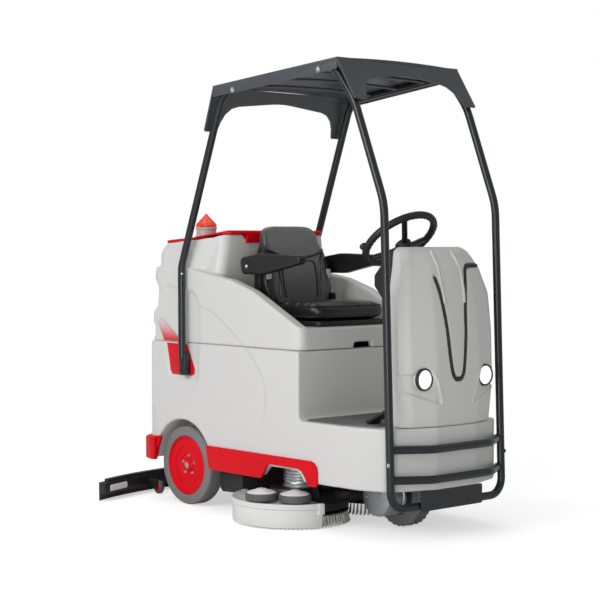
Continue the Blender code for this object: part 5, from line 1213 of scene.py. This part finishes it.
# ---------------------------------------------------------------- drive unit
# Front wheel in a steered fork under the footplate: a treaded grey tyre on an aluminium
# hub, a finned cast drum with the wheel motor beside it, and a black turntable fork.
LUG_HEIGHT = 0.003
LUG_PAIRS = 28
HUB_SEAT = 0.0853              # inner radius of the drive tyre
cast_alloy = grained("cast_aluminium", (0.50, 0.51, 0.52), 0.38, grain=260.0, bite=0.25,
                     drift=0.10, metal=0.9)
frame_black = grained("black_frame_paint", (0.018, 0.018, 0.019), 0.42, grain=700.0, bite=0.12,
                      drift=0.12)
low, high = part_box("drive_tyre")
centre = (low + high) / 2
radius = (high.z - low.z) / 2
wide = (high.x - low.x) / 2
body_r = radius - LUG_HEIGHT
ring = [(HUB_SEAT, -wide + 0.003), (HUB_SEAT + 0.004, -wide), (body_r - 0.010, -wide + 0.001),
        (body_r, -wide + 0.008)]
ring = ring + [(r, -h) for r, h in reversed(ring)] + [ring[0]]
pieces = [turned("drive_tyre_body", ring, centre, (1.0, 0.0, 0.0), 96)]


def tread_lug(turn, start, end, swing, breadth):
    """Slanting raised block across part of the tyre's tread."""
    mesh = bmesh.new()
    rows = []
    for step in range(5):
        t = step / 4
        x = centre.x + (start + (end - start) * t)
        row = []
        for r, lead in ((body_r - 0.002, -breadth / 2), (radius - 0.0002, -breadth / 2 + 0.006),
                        (radius - 0.0002, breadth / 2 - 0.006), (body_r - 0.002, breadth / 2)):
            a = turn + swing * t + lead
            row.append(mesh.verts.new((x, centre.y + r * cos(a), centre.z + r * sin(a))))
        rows.append(row)
    bridged(mesh, rows)
    return from_faces("tread_lug", mesh)


swing = radians(13.0)
breadth = radians(8.4)
for k in range(LUG_PAIRS):
    turn = 2 * pi * k / LUG_PAIRS
    pieces.append(tread_lug(turn, -wide + 0.007, -0.0015, swing, breadth))
    turn += radians(6.4) + swing
    pieces.append(tread_lug(turn, wide - 0.007, 0.0015, -swing, breadth))
drive_tyre = joined("drive_tyre_treaded", pieces)
smooth_faces(drive_tyre, 30.0)
place_on(drive_tyre, "drive_wheel", "tyre", tyre_grey, "drive_tyre")
low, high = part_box("drive_hub")
edge = (high.x - low.x) / 2
hub_r = (high.z - low.z) / 2
hub = [(0.0, -edge), (0.030, -edge), (0.034, -edge + 0.006), (0.060, -edge + 0.010),
       (hub_r - 0.004, -edge + 0.003), (hub_r, -edge + 0.002)]
hub += [(r, -h) for r, h in reversed(hub)]
hub_piece = turned("drive_hub_cast", hub, (low + high) / 2, (1.0, 0.0, 0.0), 64)
place_on(hub_piece, "drive_wheel", "aluminium", cast_alloy, "drive_hub")
edged("drive_fork", "drive_fork_casting", 0.0025, "fork", "frame_paint", frame_black)
low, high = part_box("drive_motor")
motor_r = (high.z - low.z) / 2
y = (low.y + high.y) / 2
z = (low.z + high.z) / 2
end = -low.x
start = -high.x
drum = [(0.0, start), (motor_r - 0.006, start), (motor_r, start + 0.004), (motor_r, start + 0.016)]
for k in range(5):
    fin = start + 0.020 + 0.012 * k
    drum += [(motor_r - 0.006, fin), (motor_r - 0.006, fin + 0.005), (motor_r - 0.001, fin + 0.0065),
             (motor_r - 0.001, fin + 0.0105)]
drum += [(motor_r - 0.002, end - 0.014), (motor_r - 0.004, end - 0.006), (motor_r - 0.014, end - 0.002),
         (motor_r * 0.45, end - 0.003), (motor_r * 0.42, end), (0.0, end)]
drum = [(r, min(h, end)) for r, h in drum]
parts = [turned("drive_drum", drum, (0.0, y, z), (-1.0, 0.0, 0.0), 64)]
for k in range(6):
    turn = 2 * pi * k / 6
    place = (-(end - 0.0028), y + motor_r * 0.68 * cos(turn), z + motor_r * 0.68 * sin(turn))
    parts.append(bolt("drum_bolt", place, (-1.0, 0.0, 0.0), 0.0035, 0.0050, 0.0026))
place_on(joined("drive_motor_drum", parts), "fork", "aluminium", cast_alloy, "drive_motor")


# ---------------------------------------------------------------- side skirts and rear bumper
# Red moulded strips bolted along the foot of the body: one down each side, and a deep
# bumper round the tail. Dark plates hang behind them before the rear wheels, painted shade that stands for
# the dark underside and its shadow.
for side, which in SIDES:
    node = "skirt_" + which
    low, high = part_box(node)
    skirt = edged(node, "side_skirt_" + which, 0.004, "chassis", "red_moulding", red_moulding)
    edge = high.x if side > 0 else low.x
    screws = []
    for y, z in ((-0.10, 0.268), (0.16, 0.268)):
        found, place, normal, face = skirt.ray_cast((edge + side * 0.05, y, z), (-side, 0.0, 0.0))
        if found:
            screws.append(bolt("skirt_screw", place + normal * -0.0022, (side, 0.0, 0.0), 0.0050,
                               0.0070, 0.0014))
    if screws:
        place_on(joined("side_skirt_screws_" + which, screws), "chassis", "black_plastic", soft_black)
bumper = blank_of("rear_bumper", "rear_bumper_moulding")
wing = [(0.686, 0.199), (0.700, 0.199), (0.760, 0.199), (0.760, 0.306), (0.640, 0.316), (0.664, 0.262)]
wings = [slab("bumper_wing", wing, "X", *sorted((side * 0.380, side * 0.4005))) for side in (-1, 1)]
bumper = joined("rear_bumper_moulding", [bumper] + wings)
bevelled(bumper, 0.006, 4)
place_on(bumper, "chassis", "red_moulding", red_moulding, "rear_bumper")
# These dark plates are painted shade: they stand in for the dark underside and the shadow under the body.
shade_plates = []
for side in (-1, 1):
    ends = sorted((side * 0.322, side * 0.328))
    shade_plate_outline = [(0.104, 0.200), (0.104, 0.105), (0.120, 0.090), (0.250, 0.084), (0.268, 0.100), (0.268, 0.200)]
    shade_plates.append(slab("underside_shade_plate", shade_plate_outline, "X", *ends))
    ends = sorted((side * 0.030, side * 0.320))
    shade_plate_outline = [(ends[0], 0.204), (ends[0], 0.075), (ends[0] + 0.012, 0.062), (ends[1] - 0.012, 0.062),
            (ends[1], 0.075), (ends[1], 0.204)]
    shade_plates.append(slab("underside_shade_cross_plate", shade_plate_outline, "Y", 0.1045, 0.1100))
shade_plates = joined("underside_shade_plates", shade_plates)
bevelled(shade_plates, 0.0012, 2)
place_on(shade_plates, "chassis", "rubber", black_rubber_and_painted_shade)


# ---------------------------------------------------------------- floor mat and pedal
# Ribbed charcoal rubber mat on the footplate, and a hinged black drive pedal with a screw
# at each end of its hinge.
mat_rubber = grained("mat_rubber", (0.125, 0.126, 0.127), 0.62, grain=520.0, bite=0.30, drift=0.12)
mat = blank_of("floor_mat", "floor_mat_rubber")
low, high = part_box("floor_mat")
bevelled(mat, 0.0015, 2)
ribs = [mat]
for k in range(9):
    y = -0.585 + 0.021 * k
    ribs.append(soft_block("mat_rib", (-0.185, y - 0.004, high.z - 0.0012),
                           (0.185, y + 0.004, high.z + 0.0012), 0.0010, 2))
mat = joined("floor_mat_ribbed", ribs)
place_on(mat, "chassis", "rubber", mat_rubber, "floor_mat")
pedal = edged("drive_pedal", "drive_pedal_wedge", 0.0018, "pedal", "black_plastic", soft_black, 2)
low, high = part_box("drive_pedal")
screws = []
for x in (low.x + 0.020, high.x - 0.020):
    found, place, normal, face = pedal.ray_cast((x, high.y - 0.012, high.z + 0.06), (0.0, 0.0, -1.0))
    if found:
        screws.append(bolt("pedal_screw", place, normal, 0.0052, 0.0066, 0.0022))
if screws:
    place_on(joined("drive_pedal_screws", screws), "pedal", "steel", zinc)


# ---------------------------------------------------------------- frame and hinge
# Welded black steel frame under the body with the rear axle, and knuckle plates on which
# the recovery tank tips back.
edged("chassis_frame", "chassis_frame_weldment", 0.003, "chassis", "frame_paint", frame_black)
edged("rear_axle", "rear_axle_bar", 0.0012, "chassis", "steel", zinc, 2)
edged("rear_hinge", "rear_hinge_plates", 0.0015, "chassis", "frame_paint", frame_black, 2)


# ---------------------------------------------------------------- battery and vacuum motor
# Traction battery in its dark case in the bay under the tank, and the cast suction turbine
# behind it.
battery_case = grained("battery_case", (0.030, 0.034, 0.040), 0.48, grain=240.0, bite=0.15,
                       drift=0.10)
edged("battery_pack", "battery_pack_case", 0.003, "chassis", "battery_case", battery_case)
edged("vacuum_motor", "vacuum_motor_turbine", 0.0018, "chassis", "aluminium", cast_alloy, 2)


# ---------------------------------------------------------------- brush deck
# Black two-bowl deck on a lifting arm, with pale moulded ledges and hanging curtains round
# its outer sides, finned brush motors and two flat bumper rollers at each end.
BRUSH_SPOT = Vector((0.265, -0.18, 0.0))
SKIRT_RADIUS = 0.275
curtain_plastic = grained("curtain_plastic", (0.74, 0.74, 0.73), 0.42, grain=300.0, bite=0.10,
                          drift=0.04)
bristle_nylon = grained("bristle_nylon", (0.80, 0.80, 0.78), 0.55, grain=900.0, bite=0.20,
                        drift=0.14)
roller_rubber = grained("roller_rubber", (0.095, 0.096, 0.098), 0.50, grain=420.0, bite=0.20,
                        drift=0.12)
edged("brush_deck", "brush_deck_bowls", 0.003, "deck", "black_plastic", soft_black)
edged("deck_link", "deck_link_bar", 0.002, "lift_link", "frame_paint", frame_black, 2)


def round_brush(side, r, turn, z):
    """Point round a brush: the turn runs from straight outward towards the front."""
    return Vector((side * (BRUSH_SPOT.x + r * cos(turn)), BRUSH_SPOT.y - r * sin(turn), z))


def swept_skirt(name, side, section, start, end, steps=72):
    """Closed section of (radius, height) points swept round one brush between two turns."""
    mesh = bmesh.new()
    rings = []
    for k in range(steps + 1):
        turn = radians(start + (end - start) * k / steps)
        rings.append([mesh.verts.new(round_brush(side, r, turn, z)) for r, z in section])
    bridged(mesh, rings)
    return from_faces(name, mesh)


# The curtain's foot and face, its clamp bead, the two-step ledge over it and the inner rim.
curtain = [(-0.009, 0.0885), (-0.005, 0.082), (-0.005, 0.0095), (-0.0035, 0.008), (-0.001, 0.008),
           (0.0, 0.0095), (0.0, 0.062), (0.0015, 0.0635), (0.0015, 0.0665), (0.0, 0.068),
           (0.0, 0.086), (0.0045, 0.0895), (0.0080, 0.0905), (0.0080, 0.0965), (0.0055, 0.0985),
           (0.0055, 0.1005), (0.0080, 0.1025), (0.0080, 0.1085), (0.0050, 0.1118),
           (-0.004, 0.1118), (-0.008, 0.1085)]
section = [(0.166, 0.0885)] + [(SKIRT_RADIUS + r, z) for r, z in curtain]
section += [(0.172, 0.1085), (0.168, 0.1118), (0.164, 0.1110), (0.164, 0.0900)]
for side, which in SIDES:
    parts = [swept_skirt("splash_ledge", side, section, -77.6, 75.6)]
    for turn in (-76.0, 74.0):
        foot = round_brush(side, SKIRT_RADIUS - 0.002, radians(turn), 0.088)
        clamp = soft_block("curtain_clamp", (-0.015, -0.0100, -0.025), (0.015, 0.0125, 0.025), 0.004)
        facing = (foot - Vector((side * BRUSH_SPOT.x, BRUSH_SPOT.y, foot.z))).normalized()
        turned_out = facing.to_track_quat("Y", "Z").to_matrix().to_4x4()
        clamp.data.transform(Matrix.Translation(foot) @ turned_out)
        parts.append(clamp)
    skirt = joined("splash_skirt_moulding_" + which, parts)
    smooth_faces(skirt, 40.0)
    place_on(skirt, "deck", "skirt_plastic", curtain_plastic, "splash_skirt_" + which)

    low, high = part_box("brush_motor_" + which)
    centre = (low + high) / 2
    motor_r = (high.x - low.x) / 2
    foot = low.z
    top = high.z
    can = [(0.0, foot), (motor_r, foot), (motor_r, foot + 0.012), (motor_r - 0.006, foot + 0.015)]
    for k in range(5):
        fin = foot + 0.020 + 0.013 * k
        can += [(motor_r - 0.008, fin), (motor_r - 0.008, fin + 0.006), (motor_r - 0.001, fin + 0.0075),
                (motor_r - 0.001, fin + 0.0105)]
    can += [(motor_r - 0.006, foot + 0.090), (motor_r - 0.010, foot + 0.094),
            (motor_r - 0.010, top - 0.012), (motor_r - 0.014, top - 0.005),
            (motor_r - 0.022, top - 0.001), (0.018, top), (0.0, top)]
    motor = turned("brush_motor_finned_" + which, can, (centre.x, centre.y, 0.0), steps=64)
    place_on(motor, "deck", "aluminium", cast_alloy, "brush_motor_" + which)

    node = "brush_" + which
    low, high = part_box(node)
    hub_points = [(0.012, 0.0500), (0.236, 0.0500), (0.247, 0.0510), (0.249, 0.0535),
                  (0.247, 0.0585), (0.240, 0.0600), (0.075, 0.0605), (0.070, 0.0670),
                  (0.012, 0.0672), (0.012, 0.0500)]
    spot = (side * BRUSH_SPOT.x, BRUSH_SPOT.y, 0.0)
    block = turned("brush_block_" + which, hub_points, spot, steps=96)
    place_on(block, "brush_head_" + which, "black_plastic", soft_black, node)
    mesh = bmesh.new()
    for radius, count in ((0.238, 84), (0.214, 72), (0.188, 60)):
        for k in range(count):
            turn = 2 * pi * k / count + 0.4 * radius
            lean = 0.010 * sin(k * 2.4) + 0.006
            splay = 0.013 if radius > 0.23 else 0.006
            rows = []
            for z, spread, grow in ((0.0505, 0.0022, 0.0), (0.026, 0.0034, 0.45),
                                    (0.0008, 0.0050, 1.0)):
                a = turn + lean * grow * 0.35
                r = radius + splay * grow
                spot = Vector((side * BRUSH_SPOT.x + r * cos(a), BRUSH_SPOT.y + r * sin(a), z))
                row = []
                for i in range(5):
                    b = 2 * pi * i / 5
                    row.append(mesh.verts.new(spot + Vector((spread * cos(b), spread * sin(b), 0.0))))
                rows.append(row)
            bridged(mesh, rows)
    tufts = from_faces("brush_bristles_" + which, mesh)
    place_on(tufts, "brush_head_" + which, "bristle", bristle_nylon)

    for end in ("rear", "front"):
        node = "roller_%s_%s" % (end, which)
        low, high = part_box(node)
        centre = (low + high) / 2
        roller_r = (high.x - low.x) / 2
        seat = (centre.x, centre.y, low.z)
        tyre = [(0.050, 0.0040), (roller_r - 0.006, 0.0040), (roller_r - 0.001, 0.009),
                (roller_r, 0.015), (roller_r, 0.028), (roller_r - 0.001, 0.034),
                (roller_r - 0.005, 0.0370), (0.050, 0.0370), (0.050, 0.0040)]
        body = "bump_%s_%s" % (end, which)
        ring = turned("bump_tyre_%s_%s" % (end, which), tyre, seat, steps=64)
        place_on(ring, body, "rubber", roller_rubber, node)
        dome = [(0.0, 0.0002), (0.020, 0.0002), (0.020, 0.0045), (0.0505, 0.0045), (0.0505, 0.0365),
                (0.0650, 0.0368), (0.0640, 0.0388), (0.0570, 0.0425), (0.0450, 0.0462),
                (0.0430, 0.0455), (0.0400, 0.0470), (0.0260, 0.0510), (0.0200, 0.0546), (0.0, 0.0550)]
        dome = turned("bump_dome_%s_%s" % (end, which), dome, seat, steps=64)
        place_on(dome, body, "skirt_plastic", curtain_plastic)
        head = bolt("bump_bolt_%s_%s" % (end, which), (centre.x, centre.y, low.z + 0.0540),
                    (0.0, 0.0, 1.0), 0.0060, 0.0090, 0.0040)
        place_on(head, body, "steel", zinc)


# ---------------------------------------------------------------- squeegee
# Curved black squeegee bar on a lifting arm, with a wiping blade, four clamp knobs, pale
# inserts at both ends and two small support wheels.
INSERT_HEIGHT = 0.062          # middle of the pale end inserts
blade_rubber = grained("blade_rubber", (0.050, 0.050, 0.052), 0.55, grain=380.0, bite=0.20,
                       drift=0.12)
edged("squeegee_arm", "squeegee_arm_bar", 0.0022, "squeegee_lift_arm", "frame_paint", frame_black, 2)
bar = edged("squeegee_body", "squeegee_body_bar", 0.0025, "squeegee", "black_plastic", soft_black, 2)
edged("squeegee_blade", "squeegee_blade_strip", 0.0008, "squeegee", "rubber", blade_rubber, 2)


def bow_y(x):
    """Rear face of the curved squeegee bar."""
    return 0.9775 - 0.140 * (x / 0.625) ** 2


fittings = []
inserts = []
for side in (-1, 1):
    for x in (0.34, 0.50):
        place = Vector((side * x, bow_y(x) - 0.028, 0.088))
        knob_rows = [(0.0, 0.0), (0.015, 0.0), (0.017, 0.002), (0.017, 0.011), (0.0150, 0.0135),
                     (0.0, 0.0145)]
        fittings.append(turned("clamp_knob", knob_rows, place, steps=20))
    for x in (0.455, 0.585):
        found, place, normal, face = bar.ray_cast((side * x, 0.5, INSERT_HEIGHT), (0.0, 1.0, 0.0))
        if x < 0.5:
            inner_end = place
        else:
            outer_end = place
    run = (outer_end - inner_end) / 8
    line = [inner_end + run * k + Vector((0.0, 0.0004, 0.0)) for k in range(9)]
    strip = tube("end_insert", line, 0.0115, 12)
    for vertex in strip.data.vertices:
        vertex.co.z = INSERT_HEIGHT + (vertex.co.z - INSERT_HEIGHT) * 1.35
        middle_y = inner_end.y + (vertex.co.x - inner_end.x) / run.x * run.y
        vertex.co.y = middle_y + (vertex.co.y - middle_y) * 0.40
    inserts.append(strip)
place_on(joined("squeegee_clamp_knobs", fittings), "squeegee", "black_plastic", soft_black)
place_on(joined("squeegee_end_inserts", inserts), "squeegee", "skirt_plastic", curtain_plastic)
for side, which in SIDES:
    node = "squeegee_caster_" + which
    low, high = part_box(node)
    centre = (low + high) / 2
    half = (high.x - low.x) / 2
    wheel = [(0.0045, -half), (0.022, -half), (0.0235, -half + 0.002), (0.030, -half + 0.001),
             (0.032, -half + 0.004)]
    wheel += [(r, -h) for r, h in reversed(wheel)] + [wheel[0]]
    roll = turned("caster_wheel_" + which, wheel, centre, (1.0, 0.0, 0.0), 48)
    place_on(roll, "caster_" + which, "rubber", roller_rubber, node)
    disc_half = half + 0.0006
    disc = [(0.0046, -disc_half), (0.0205, -disc_half), (0.0205, disc_half), (0.0046, disc_half),
            (0.0046, -disc_half)]
    disc = turned("caster_disc_" + which, disc, centre, (1.0, 0.0, 0.0), 48)
    place_on(disc, "caster_" + which, "red_moulding", red_moulding)
